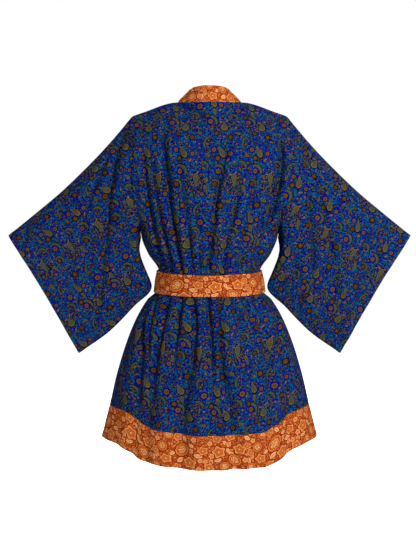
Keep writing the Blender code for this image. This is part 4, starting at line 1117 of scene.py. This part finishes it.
def panel(name, side, across, z, raised, material):
    """A panel of the body, down to the border's seam."""
    across, z = np.broadcast_arrays(across, z)
    dips = sum(side_dip(side, across, z))
    outer = laid_on_body(side, across, z, raised + CLOTH + dips)
    inner = laid_on_body(side, across, z, raised + CLOTH - SATIN + dips)
    return cloth(name, outer, inner, panel_place(side, across, z), material)


def hem_border(name, side, across, z, raised, material):
    """A border from its seam to its turned hem. It dips at that seam as the panel above it does."""
    across, z = np.broadcast_arrays(across, z)
    below = border_seam[side](across) - z
    place = panel_place(side, across, z)
    place[..., 0] = (place[..., 0] + SKIRT_ANCHOR[0]) * RUST_CLOSE_UP
    place[..., 1] = below / MM
    relief = sum(side_dip(side, across, z + 2 * below))
    relief = relief + turned_hem(BORDER_HEIGHT - below, place[..., 0])
    outer = laid_on_body(side, across, z, raised + CLOTH + relief)
    inner = laid_on_body(side, across, z, raised + CLOTH - SATIN + relief)
    return cloth(name, outer, inner, place - BORDER_DAISY, material)


# %% Back panel and its border
columns = np.linspace(-HALF_TURN, HALF_TURN, 185)[None, :]
back_panel = panel("back_panel", BACK, columns, panel_heights(BACK, columns), 0, blue_satin)
finish_piece(back_panel, "back")
back_border = hem_border("back_border", BACK, columns, border_heights(BACK, columns), 0, rust_satin)
finish_piece(back_border, "back_hem_border")

# %% [markdown]
# ## The fronts
#
# Each front runs from its side seam to the crossing edge. The left one lies over the right one, so it is
# lifted by the thickness of what is under it.

# %% Fronts
BAND_UNDERSIDE = BAND_CLOTH - CLOTH
LAYER_LIFT = CLOTH + LAYER_GAP + BAND_UNDERSIDE
LIFT_SIDE_FROM, LIFT_SIDE_TO = 0.97, 0.72
LIFT_TOP_FROM, LIFT_TOP_TO = -60 * MM, -130 * MM
NECK_ANGLE = math.asin(NECK_HALF / SHOULDER_HALF)
FRONT_COLUMNS = np.linspace(0, 1, 101)
SETTLE_ROUNDS = 12


def lift(hand, x, z):
    """The left front lies over the right one, and comes down to the seam at the wearer's left side."""
    if hand == RIGHT:
        return 0 * x
    over = smooth(LIFT_SIDE_FROM, LIFT_SIDE_TO, x / half_width(z))
    return LAYER_LIFT * over * smooth(LIFT_TOP_FROM, LIFT_TOP_TO, z)


def front_grid(hand, heights):
    """Angles across and heights of a front's grid, from its edge to its side seam.

    Heights depend on the angle, and the edge's angle on the height, so a few rounds settle both.
    """
    share = FRONT_COLUMNS[None, :]
    z = heights(FRONT, hand * (NECK_ANGLE + (HALF_TURN - NECK_ANGLE) * share))
    for _ in range(SETTLE_ROUNDS):
        wide = np.where(z[:, :1] > -SHOULDER_DROP, SHOULDER_HALF, half_width(z[:, :1]))
        edge = hand * np.arcsin(np.clip(front_edge(z[:, :1]) / wide, -1, 1))
        across = edge + (hand * HALF_TURN - edge) * share
        z = heights(FRONT, across)
    return across, z


front_grids = {}
for hand, name in ((LEFT, "left_front"), (RIGHT, "right_front")):
    front_grids[hand] = front_grid(hand, panel_heights), front_grid(hand, border_heights)
    for (across, z), make, part, finish, slot_name in (
        (front_grids[hand][0], panel, "_panel", blue_satin, "printed_blue_silk"),
        (front_grids[hand][1], hem_border, "_border", rust_satin, "printed_rust_silk"),
    ):
        raised = lift(hand, half_width(z) * np.sin(across) * hand, z)
        piece = make(name + part, FRONT, across, z, raised, finish)
        finish_piece(piece, name if part == "_panel" else name + "_hem_border")

# %% [markdown]
# ## The sleeves
#
# A sleeve is cut as one wide rectangle-like piece, closed by a seam along its top edge. The print runs on
# unbroken round the lower edge and breaks at that seam. It stands square to the arm's line, which hangs
# 34 degrees below level, so on the flat cloth it is turned by that angle. The cuff is a turned hem.

# %% Sleeves
SLEEVE_HANG = math.radians(34)
SLEEVE_ROWS, SLEEVE_COLUMNS = 104, 184
EVEN_STEPS = 0.12
SLEEVE_LENGTH = 400 * MM
SLEEVE_ANCHOR = {LEFT: np.array([-401.3, -10.0]), RIGHT: np.array([376.1, -2.7])}


def sleeve_place(hand, along, points):
    """Unrolls the sleeve: from its top seam all round its rings, then turned to the cloth's grain."""
    step = np.linalg.norm(np.diff(points, axis=1), axis=-1)
    reach = np.concatenate([np.zeros((len(points), 1)), np.cumsum(step, 1)], 1)
    at = {name: read(along) for name, read in station.items()}
    dx, dz = at["low_x"] - at["top_x"], at["low_z"] - at["top_z"]
    length = np.hypot(dx, dz)
    right = -hand * (at["top_x"] + dx / length * reach)
    down = -(at["top_z"] + dz / length * reach)
    cosine, sine = math.cos(SLEEVE_HANG), math.sin(SLEEVE_HANG)
    u = right * cosine - hand * down * sine
    v = hand * right * sine + down * cosine
    return np.stack([u, v], -1) / MM - SLEEVE_ANCHOR[hand]


# %% Sleeve's cloth
def sleeve(name, hand, material):
    """A whole sleeve, with its columns closer together along the top and lower edges."""
    even = np.linspace(0, 2 * math.pi, SLEEVE_COLUMNS, endpoint=False)[None, :]
    along, turn = np.broadcast_arrays(np.linspace(0, 1, SLEEVE_ROWS)[:, None], even + EVEN_STEPS * np.sin(2 * even))
    place = sleeve_place(hand, along, sleeve_point(hand, along, turn, False))
    relief = seam_dip(along * SLEEVE_LENGTH) + turned_hem((1 - along) * SLEEVE_LENGTH, place[..., 1])
    normal = sleeve_normal(hand, along, turn)
    base = sleeve_point(hand, along, turn)
    outer = base + normal * (CLOTH + relief)[..., None]
    inner = base + normal * (CLOTH - SATIN + relief)[..., None]
    return cloth(name, outer, inner, place, material, closed=True)


for hand, name in ((LEFT, "left_sleeve"), (RIGHT, "right_sleeve")):
    finish_piece(sleeve(name + "_cloth", hand, blue_satin), name)

# %% [markdown]
# ## Neck band and front bands
#
# One long doubled strip on the real robe: it stands up and leans back behind the neck, then turns down
# and lies flat along the two crossing edges. Here it is three pieces, cut at the shoulder seams.

# %% A band's own relief
NECK_LEAN_BACK, NECK_LEAN_SIDE, NECK_TURN = math.radians(22), math.radians(44), 0.75
BAND_ROWS = np.linspace(0, 1, 15)
BAND_PLUMP, BAND_RIPPLE = 0.5 * MM, 0.22 * MM
BAND_RIPPLES = ((8.3, 6, 0), (13.1, -9, 2))
STANDING_TO, LYING_FROM, WRAPPED_FROM = -20 * MM, -100 * MM, -150 * MM
SIDEWAYS = 0.5
NECK_COLUMNS = np.arcsin(NECK_HALF / SHOULDER_HALF * np.sin(np.linspace(-HALF_TURN, HALF_TURN, 81)))


def band_relief(reach, run_mm):
    """A doubled band is plumper in the middle, dips at its seam, and pulls into low slanting ripples."""
    plump = BAND_PLUMP * np.sin(math.pi * np.clip(reach / BAND_WIDTH, 0, 1))
    ripple = sum(np.sin(run_mm / a + reach / (b * MM) + c) for a, b, c in BAND_RIPPLES)
    return plump + BAND_RIPPLE * ripple + seam_dip(reach)


# %% Neck band
def neck_band(name, material):
    """The part of the strip that stands round the back of the neck."""
    across = NECK_COLUMNS
    turn = np.arcsin(np.clip(np.sin(across) * SHOULDER_HALF / NECK_HALF, -1, 1))
    foot = laid_on_body(BACK, across, 0 * across, CLOTH)
    lean = (NECK_LEAN_BACK + (NECK_LEAN_SIDE - NECK_LEAN_BACK) * np.sin(turn) ** 2)[:, None]
    across_band = np.sin(turn) * (1 - 1e-9)
    flat = unit(np.stack([across_band, (1 - across_band ** 2) ** NECK_TURN, 0 * turn], -1))
    rise = np.array([0, 0, 1])
    way = rise * np.cos(lean) - flat * np.sin(lean)
    outward = rise * np.sin(lean) + flat * np.cos(lean)
    reach = SEAM_GAP + (BAND_WIDTH - SEAM_GAP) * BAND_ROWS
    run = walked(foot[:, None], 0)
    relief = band_relief(reach[None, :], run)
    outer = foot[:, None] + way[:, None] * reach[None, :, None] + outward[:, None] * relief[..., None]
    inner = foot[:, None] + way[:, None] * reach[None, :, None] - outward[:, None] * BAND_CLOTH
    place = np.stack([-run + run.mean() + 0 * relief, (BAND_WIDTH - reach) / MM + 0 * relief], -1)
    return cloth(name, outer, inner, place, material)


# %% Front bands
def front_band(name, hand, material):
    """One side of the strip: it stands at the neck, turns over, and lies flat on the front below."""
    grids = front_grids[hand]
    across = np.append(grids[0][0][:, 0], grids[1][0][1:, 0])
    z = np.append(grids[0][1][:, 0], grids[1][1][1:, 0])
    x = front_edge(z)
    raised = lift(hand, x, z)
    foot = laid_on_body(FRONT, across, z, raised + CLOTH)
    face = body_normal(FRONT, across, z)
    run = unit(np.gradient(foot, axis=0))
    lying_way = unit(np.cross(run, face) * hand)
    lying_way = lying_way * np.where(lying_way[:, :1] * hand > 0, -1, 1)
    flat, rise = np.array([hand, 0, 0]), np.array([0, 0, 1])
    standing_way = rise * math.cos(NECK_LEAN_SIDE) - flat * math.sin(NECK_LEAN_SIDE)
    lying = smooth(STANDING_TO, LYING_FROM, z)[:, None]
    way = unit(standing_way + (lying_way - standing_way) * lying)
    out_of_it = unit(np.cross(way, run) * hand)
    out_of_it = out_of_it * np.where((out_of_it * (face + flat * SIDEWAYS)).sum(-1, keepdims=True) < 0, -1, 1)
    standing_out = rise * math.sin(NECK_LEAN_SIDE) + flat * math.cos(NECK_LEAN_SIDE)
    beyond_seam = smooth(0, STANDING_TO, z)[:, None]
    out_of_it = unit(standing_out + (out_of_it - standing_out) * beyond_seam)
    wrapped = smooth(LYING_FROM, WRAPPED_FROM, z)[:, None]
    slope = np.arctan(np.gradient(x, z))
    length = walked(foot, 0)
    inner, outer, place = [], [], []
    for share in BAND_ROWS:
        reach = SEAM_GAP + (BAND_WIDTH - SEAM_GAP) * share
        there_z, there_x = z + reach * np.sin(slope), x - reach * np.cos(slope)
        there = np.arcsin(np.clip(there_x / half_width(there_z), -1, 1)) * hand
        relief = band_relief(reach, length)
        on_body_out = laid_on_body(FRONT, there, there_z, raised + CLOTH + relief)
        on_body_in = laid_on_body(FRONT, there, there_z, raised - BAND_UNDERSIDE)
        straight = foot + way * reach
        on_edge = straight + out_of_it * relief[:, None]
        outer.append(on_edge + (on_body_out - on_edge) * wrapped)
        straight = straight - out_of_it * BAND_CLOTH
        inner.append(straight + (on_body_in - straight) * wrapped)
        place.append(np.stack([hand * length, (BAND_WIDTH - reach) / MM + 0 * length], -1))
    return cloth(name, np.stack(outer, 1), np.stack(inner, 1), np.stack(place, 1), material)


finish_piece(neck_band("neck_band_cloth", rust_satin), "neck_band")
for hand, name in ((LEFT, "left_front_band"), (RIGHT, "right_front_band")):
    finish_piece(front_band(name + "_cloth", hand, rust_satin), name)

# %% [markdown]
# ## The belt
#
# A doubled strip drawn tight over the gathers. It keeps nearly flat, with a few shallow creases that run
# along it and edges that are not quite straight.

# %% Belt
BACK_UNDER_BELT = CLOTH + LAYER_GAP
FRONT_UNDER_BELT = LAYER_LIFT + CLOTH + 1.5 * LAYER_GAP
OVER_FRONT, OVER_BACK = -0.25, 0.45
BELT_ROWS, BELT_COLUMNS = 21, 270
BELT_PLUMP, BELT_RIPPLE, EDGE_WANDER = 0.5 * MM, 0.25 * MM, 0.7 * MM
BELT_RIPPLES = ((9, 14, 0), (14, -9, 1))
BELT_CREASE_LEVEL = 0.3
BELT_CLOSE_UP, BELT_DAISY = 0.864, np.array([-111.7, 21.3])
BeltCrease = namedtuple("BeltCrease", "middle half_length height slant deep wide")
BELT_CREASES = (
    # degrees from the middle of the back, degrees, mm below the top edge, mm per radian, mm, mm
    BeltCrease(34, 26, 17, 9, 0.9, 3.2),
    BeltCrease(-30, 30, 31, -8, 0.9, 3.4),
    BeltCrease(4, 20, 39, 5, 0.6, 3.0),
    BeltCrease(-66, 22, 16, 10, 1.0, 3.4),
    BeltCrease(76, 24, 33, -9, 1.0, 3.6),
    BeltCrease(128, 26, 20, 7, 1.0, 3.4),
    BeltCrease(-124, 28, 29, -7, 1.0, 3.4),
    BeltCrease(158, 16, 36, 12, 1.1, 3.0),
    BeltCrease(-156, 16, 14, -12, 1.1, 3.0),
)

# %% Belt's form
def belt_ring(turn, z, above):
    """Points of the belt: the body's own sections without folds, moved out over what lies under it."""
    half, back, front = half_width(z), body_depth[BACK](z), body_depth[FRONT](z)
    deep = np.where(np.cos(turn) > 0, back, front)
    in_front = smooth(OVER_BACK, OVER_FRONT, np.cos(turn))
    over = BACK_UNDER_BELT + (FRONT_UNDER_BELT - BACK_UNDER_BELT) * in_front
    ways = unit(np.stack([np.sin(turn) / half, np.cos(turn) / deep, 0 * z], -1))
    ring = np.stack([half * np.sin(turn), deep * np.cos(turn), z], -1)
    return ring + ways * (over + above)[..., None]


def belt_relief(turn, below):
    """Plump like the bands, with low ripples and the creases that run along it."""
    relief = BELT_PLUMP * np.sin(math.pi * np.clip(below / BELT_WIDTH, 0, 1))
    relief = relief + BELT_RIPPLE * sum(np.sin(a * turn + below / (b * MM) + c) for a, b, c in BELT_RIPPLES)
    for c in BELT_CREASES:
        along = turn - math.radians(c.middle)
        fade = np.clip(1 - (along / math.radians(c.half_length)) ** 2, 0, 1)
        line = (c.height + c.slant * along) * MM
        trough = np.exp(-(((below - line) / (c.wide * MM)) ** 2))
        relief = relief - c.deep * MM * fade * (trough - BELT_CREASE_LEVEL)
    return relief


# %% Belt's cloth
def belt(name, material):
    """The closed ring of the belt round the waist."""
    turns = np.linspace(-math.pi, math.pi, BELT_COLUMNS, endpoint=False)
    turn, share = np.meshgrid(turns, np.linspace(0, 1, BELT_ROWS))
    edge = EDGE_WANDER * (np.sin(3 * turn + 0.6) + np.sin(7 * turn + 2.1)) * (share - 0.5)
    z = BELT_TOP - BELT_WIDTH * share + edge
    relief = belt_relief(turn, BELT_WIDTH * share)
    outer, inner = belt_ring(turn, z, BELT_CLOTH + relief), belt_ring(turn, z, 0 * z)
    middle = belt_ring(turns, BELT_TOP - BELT_WIDTH / 2 + 0 * turns, BELT_CLOTH + 0 * turns)
    run = walked(middle, 0)
    run = np.interp(0, turns, run) - run
    place = np.stack([run[None, :] * BELT_CLOSE_UP + 0 * turn, share * BELT_WIDTH / MM], -1)
    return cloth(name, outer, inner, place - BELT_DAISY, material, closed=True)


finish_piece(belt("belt_cloth", rust_satin), "belt")

# %% [markdown]
# ## The knot
#
# The knot is the belt drawn through itself. It could be modelled as one long strip led round and through,
# but most of that strip would be hidden. So it is a flat soft block with slanting wraps pressed into its
# front. Its back follows the belt's face, so that it lies on the belt.

# %% The belt's face behind the knot
KNOT_WIDTH, KNOT_HEIGHT, KNOT_DEPTH, KNOT_Z = 50 * MM, 60 * MM, 20 * MM, -426 * MM
KNOT_OFF_BELT = 1.2 * MM
down_belt = np.linspace(BELT_TOP, BELT_TOP - BELT_WIDTH, 6)
middle_of_front = belt_ring(math.pi + 0 * down_belt, down_belt, BELT_CLOTH + 0 * down_belt)


def face_terms(x, z):
    """A low smooth surface's terms; beyond the belt's edges it goes on flat."""
    z = np.clip(z - KNOT_Z, -BELT_WIDTH / 2, BELT_WIDTH / 2) / BELT_WIDTH
    x = x / KNOT_WIDTH
    return np.stack([x ** 0, x, x ** 2, z, z ** 2, z ** 3], -1)


knot_back = float(middle_of_front[:, 1].min()) - KNOT_OFF_BELT - SEAM_GAP
belt_face = shells["belt_cloth"][0].reshape(-1, 3)
belt_face = belt_face[(belt_face[:, 1] < 0) & (np.abs(belt_face[:, 0]) < KNOT_WIDTH / 2)]
face_weights = np.linalg.lstsq(face_terms(belt_face[:, 0], belt_face[:, 2]), belt_face[:, 1], rcond=None)[0]
face_error = face_terms(belt_face[:, 0], belt_face[:, 2]) @ face_weights - belt_face[:, 1]
print("belt's face behind the knot: %.1f to %.1f mm" % (belt_face[:, 1].min() / MM, belt_face[:, 1].max() / MM))

# %% Knot
KNOT_ROUND, KNOT_FRONT_ROUND, KNOT_WAIST = 0.62, 0.6, 0.14
KNOT_BULGE, KNOT_FLAT_BACK = 0.9, 1.3
WRAP_DEPTH, WRAP_WAVES, WRAP_SLANT_X, WRAP_SLANT_Z = 0.13, 7.5, 0.9, 0.45
KNOT_RINGS, KNOT_SIDES, POLE = 44, 110, 0.02


def powered(value, power):
    """A power that keeps the sign; below 1 it squares a circle off."""
    return np.copysign(np.abs(value) ** power, value)


def knot_points():
    """Rings of points from the middle of the knot's front to the middle of its back."""
    polar, turn = np.meshgrid(np.linspace(POLE, math.pi - POLE, KNOT_RINGS),
                              np.linspace(0, 2 * math.pi, KNOT_SIDES, endpoint=False), indexing="ij")
    out = np.sin(polar) ** KNOT_FRONT_ROUND
    x, z = out * powered(np.cos(turn), KNOT_ROUND), out * powered(np.sin(turn), KNOT_ROUND)
    # Broad wraps across the knot, and the cloth's own finer creases in them
    slanted = x * WRAP_SLANT_X + z * WRAP_SLANT_Z
    wraps = np.cos(WRAP_WAVES * slanted) + 0.25 * np.cos(19 * slanted + 2 * z) + 0.2 * np.sin(27 * slanted + x)
    press = WRAP_DEPTH * wraps * np.sin(polar)
    y = np.where(np.cos(polar) > 0, np.cos(polar) * (KNOT_BULGE + press),
                 np.maximum(-1, KNOT_FLAT_BACK * np.cos(polar)))
    x = x * (1 - KNOT_WAIST * (1 - np.abs(z)))
    x, z = x * KNOT_WIDTH / 2, KNOT_Z + z * KNOT_HEIGHT / 2
    on_belt = face_terms(x, z) @ face_weights - np.max(face_error) - SEAM_GAP
    back = on_belt + (knot_back - on_belt) * smooth(-1, 0, y)
    return np.stack([x, back - (1 + y) * KNOT_DEPTH / 2, z], -1)


def knot(name, material):
    """The knot's rings, closed by a fan of triangles at either end."""
    index = np.arange(KNOT_RINGS * KNOT_SIDES).reshape(KNOT_RINGS, KNOT_SIDES)
    index = np.concatenate([index, index[:, :1]], 1)
    faces = np.stack([index[:-1, :-1], index[1:, :-1], index[1:, 1:], index[:-1, 1:]], -1).reshape(-1, 4)
    points = knot_points().reshape(-1, 3)
    caps = []
    for ring, way in ((0, 1), (KNOT_RINGS - 1, -1)):
        rim = index[ring, :-1]
        middle = len(points)
        points = np.concatenate([points, points[rim].mean(0)[None]])
        caps += [[middle, int(a), int(b)][::way] for a, b in zip(rim, np.roll(rim, -1))]
    place = np.stack([points[:, 0], -points[:, 2], 0 * points[:, 0]], -1) / MM
    obj = mesh_object(name, points, faces.tolist() + caps, material, place)
    if not outwards(points, faces):
        obj.data.flip_normals()
    return obj


finish_piece(knot("belt_knot_cloth", rust_satin), "belt_knot")

# %% [markdown]
# ## The belt's two ends
#
# They drop out of the knot and lie on the skirt, gathered at the top where they come out of it. Each has
# two soft folds that fade out below, and swings in a low wave.

# %% The ends' sizes
Hang = namedtuple("Hang", "name along left right half_width")
TAIL = (
    # name, share along the end, distance from the mid-line of the left one and the right one, half width
    Hang("knot", 0.0, 12.0, 12.0, 10.5),
    Hang("spread", 0.10, 20.0, 20.5, 17.0),
    Hang("open", 0.22, 27.5, 29.0, 24.0),
    Hang("half_way", 0.55, 34.0, 41.0, 24.5),
    Hang("end", 1.0, 42.0, 55.0, 24.5),
)
TAIL_LENGTH = {LEFT: 300 * MM, RIGHT: 272 * MM}
TAIL_DROP, TAIL_INTO_KNOT, TAIL_GATHER, TAIL_GATHER_TO = 3 * MM, 6 * MM, 3 * MM, 0.2
hang = {name: column(TAIL, "along", name) for name in Hang._fields[2:]}
print("belt's ends:", [round(length / MM) for length in TAIL_LENGTH.values()], "mm")

# %% Belt's ends
TAIL_ROWS, TAIL_COLUMNS = 90, 15
TAIL_FOLD, TAIL_WAVE, TAIL_CLEAR = 2.0 * MM, 1.2 * MM, 1.2 * MM
TAIL_PRINT_RIGHT, TAIL_PRINT_DOWN = -30, 20


def tail(name, hand, material):
    """One of the belt's two hanging ends."""
    top = KNOT_Z - KNOT_HEIGHT / 2 - TAIL_DROP
    along = np.linspace(0, 1, TAIL_ROWS)[:, None]
    across = np.linspace(-1, 1, TAIL_COLUMNS)[None, :]
    centre = hang["left"](along) if hand == LEFT else hang["right"](along)
    x = hand * (centre + hang["half_width"](along) * across)
    z = top - TAIL_LENGTH[hand] * along + 0 * x
    angle = np.arcsin(np.clip(x / half_width(z), -1, 1))
    inner = laid_on_body(FRONT, angle, z, FRONT_UNDER_BELT + LAYER_GAP + 0 * x)
    gathered = TAIL_GATHER * (1 - smooth(0, TAIL_GATHER_TO, along)) * np.cos(2.2 * across)
    fold = TAIL_FOLD * (1 - smooth(0.1, 0.8, along)) * np.cos(7.5 * across + 2 * along)
    wave = TAIL_WAVE * np.sin(9 * along + hand) * smooth(0.05, 0.4, along) * (1 + 0.5 * across * hand)
    inner[..., 1] = np.minimum(inner[..., 1], knot_back - TAIL_INTO_KNOT) - gathered
    inner[..., 1] -= np.abs(fold) * smooth(0, 0.08, along) + wave + TAIL_CLEAR
    outer = inner - np.array([0, BELT_CLOTH, 0])
    place = np.stack([x / MM + hand * TAIL_PRINT_RIGHT, (top - z) / MM + TAIL_PRINT_DOWN], -1)
    return cloth(name, outer, inner, place, material)


for hand, name in ((LEFT, "belt_end_left"), (RIGHT, "belt_end_right")):
    finish_piece(tail(name + "_cloth", hand, rust_satin), name)

# %% [markdown]
# ## Stitching
#
# On the real robe the hems and the edges of bands and belt are sewn down with rows of lockstitch. A row
# could be a dashed line in the print, but thread stands on the cloth and catches the light. So each
# stitch is a small ridge of thread. The rows follow the cloth's outer faces, a set distance in from an
# edge. Real stitches are about 2.5 mm long, and these are too.

# %% Rows of stitches
STITCH_LENGTH, STITCH_PITCH = 2.4 * MM, 3.3 * MM
STITCH_HALF_WIDTH, STITCH_HEIGHT, STITCH_SUNK = 0.24 * MM, 0.26 * MM, 0.12 * MM
STITCH_SLOPE = 0.22
HEM_ROW, EDGE_ROW, TOP_STITCH = 10.5 * MM, 2.6 * MM, 2.0 * MM
Row = namedtuple("Row", "piece edge inset closed")
RUST_ROWS = (
    *(Row(piece, edge, inset, False) for piece in ("back_border", "left_front_border", "right_front_border")
      for edge, inset in (("last_row", HEM_ROW), ("first_row", TOP_STITCH))),
    *(Row(piece, edge, EDGE_ROW, False)
      for piece in ("neck_band_cloth", "left_front_band_cloth", "right_front_band_cloth")
      for edge in ("first_column", "last_column")),
    *(Row("belt_cloth", edge, EDGE_ROW, True) for edge in ("first_row", "last_row")),
    *(Row(piece, edge, EDGE_ROW, False) for piece in ("belt_end_left_cloth", "belt_end_right_cloth")
      for edge in ("first_column", "last_column", "last_row")),
)
BLUE_ROWS = tuple(Row(piece, "last_row", HEM_ROW, True) for piece in ("left_sleeve_cloth", "right_sleeve_cloth"))
print("rows of stitches:", len(RUST_ROWS), "in rust,", len(BLUE_ROWS), "in navy")


# %% Stitches
def beside_edge(row):
    """Points on a piece's outer face at a distance in from one of its edges, and the way out of the cloth."""
    outer, inner = shells[row.piece]
    if "column" in row.edge:
        outer, inner = outer.swapaxes(0, 1), inner.swapaxes(0, 1)
    if "last" in row.edge:
        outer, inner = outer[::-1], inner[::-1]
    reach = walked(outer, 0) * MM
    lines = range(outer.shape[1])
    on, under = (np.array([[np.interp(row.inset, reach[:, k], grid[:, k, axis]) for axis in range(3)]
                           for k in lines]) for grid in (outer, inner))
    if row.closed:
        on, under = np.append(on, on[:1], 0), np.append(under, under[:1], 0)
    return on, unit(on - under)


def stitched(on, ways):
    """The corners of a row's stitches: four at the cloth and two along the ridge of each."""
    run = walked(on, 0) * MM
    start = np.arange(STITCH_PITCH / 2, run[-1] - STITCH_LENGTH, STITCH_PITCH)

    def at(distance, values):
        return np.stack([np.interp(distance, run, values[:, axis]) for axis in range(3)], -1)

    a, b = at(start, on), at(start + STITCH_LENGTH, on)
    out = unit(at(start + STITCH_LENGTH / 2, ways))
    side = unit(np.cross(out, b - a)) * STITCH_HALF_WIDTH
    foot, ridge = -out * STITCH_SUNK, out * STITCH_HEIGHT
    inwards = (b - a) * STITCH_SLOPE
    return np.stack([a - side + foot, a + side + foot, b - side + foot, b + side + foot,
                     a + inwards + ridge, b - inwards + ridge], 1)


def stitching(name, rows, material):
    """All rows of one thread as one piece."""
    corners = np.concatenate([stitched(*beside_edge(row)) for row in rows])
    one = ((0, 2, 5, 4), (1, 4, 5, 3), (0, 4, 1), (2, 3, 5), (0, 1, 3, 2))
    faces = [[6 * k + corner for corner in face] for k in range(len(corners)) for face in one]
    print(len(corners), "stitches in", name)
    finish_piece(mesh_object(name, corners.reshape(-1, 3), faces, material), None)


# %% [markdown]
# ## Thread
#
# Polyester sewing thread in the colour of each cloth. It is twisted, so it scatters light more than the
# satin does, and keeps a trace of gloss.

# %% Thread and stitching
THREAD_ROUGH, THREAD_GLOSS = 0.65, 0.1


def thread(name, colour):
    """The material of one thread."""
    material = start(name)
    surface = add("BsdfPrincipled", ink(colour), named={
        "Roughness": THREAD_ROUGH, "IOR": POLYESTER_IOR, "Specular IOR Level": THREAD_GLOSS})
    add("OutputMaterial", surface)
    return material


stitching("stitching_on_rust", RUST_ROWS, thread("rust_thread", "#5f2a0b"))
stitching("stitching_on_blue", BLUE_ROWS, thread("navy_thread", "#040525"))

# %% [markdown]
# ## The record of a piece's cut
#
# Only the record's fields are set here, and no piece's cut is listed. A sheet's flat size is its cut, all
# round where it is a tube, in metres; the area is for a cut that isn't a rectangle.

# %% The record of a cut
Cut = namedtuple("Cut", "piece width length area held rests_on")

# %% [markdown]
# ## Floor, light and camera
#
# The picture is a studio shot on white. A white sky lights the robe softly from all round. A small strong
# light stands above the camera, a little to the viewer's right: it is several times as strong as the sky
# and gives the folds their lit and shaded sides, and because of it the inks are darker than the print
# looks. A larger, weaker light fills the robe's front. A pale floor lies 1.42 m below the neck points. The
# camera stands behind the robe, a little above its middle.

# %% Floor
FLOOR_Z, FLOOR_REACH, FLOOR_SIDES = -1.42, 9.0, 96
FLOOR_WHITE, FLOOR_ROUGH = (0.98, 0.98, 0.98, 1), 0.9
floor_paint = bpy.data.materials.new("pale_floor_paint")
floor_paint.use_nodes = True
paint = floor_paint.node_tree.nodes["Principled BSDF"]
paint.inputs["Base Color"].default_value = FLOOR_WHITE
paint.inputs["Roughness"].default_value = FLOOR_ROUGH
turns = [2 * math.pi * k / FLOOR_SIDES for k in range(FLOOR_SIDES)]
rim = np.array([(FLOOR_REACH * math.cos(turn), FLOOR_REACH * math.sin(turn), FLOOR_Z) for turn in turns])
mesh_object("pale_floor", rim, [list(range(FLOOR_SIDES))], floor_paint)


# %% Light
def stand(name, data, place, aim):
    """Puts a lamp or a camera at a place and turns it toward another."""
    obj = bpy.data.objects.new(name, data)
    obj.location = place
    obj.rotation_mode = "QUATERNION"
    obj.rotation_quaternion = (Vector(aim) - Vector(place)).to_track_quat("-Z", "Y")
    bpy.context.scene.collection.objects.link(obj)
    return obj


world = bpy.data.worlds.new("white_studio")
bpy.context.scene.world = world
world.use_nodes = True
world.node_tree.nodes["Background"].inputs["Color"].default_value = (1, 1, 1, 1)
world.node_tree.nodes["Background"].inputs["Strength"].default_value = 1.0
Lamp = namedtuple("Lamp", "name place watts size")
LAMPS = (
    Lamp("key_behind_right", (-1.15, 2.55, 1.0), 330, 0.8),
    Lamp("fill_front_left", (1.5, -2.4, 0.3), 190, 1.6),
)
LAMP_AIM = (0, 0, -0.38)
for lamp in LAMPS:
    light = bpy.data.lights.new(lamp.name, "AREA")
    light.energy, light.size = lamp.watts, lamp.size
    stand(lamp.name, light, lamp.place, LAMP_AIM)

# %% Camera
CAMERA_PLACE, CAMERA_AIM = (0.0036, 2.6, -0.1092), (0.0036, 0, -0.4008)
LENS, SENSOR_WIDTH = 72, 36
camera_data = bpy.data.cameras.new("camera")
camera_data.lens, camera_data.sensor_width = LENS, SENSOR_WIDTH
bpy.context.scene.camera = stand("camera", camera_data, CAMERA_PLACE, CAMERA_AIM)
bpy.context.scene.view_settings.view_transform = "Standard"
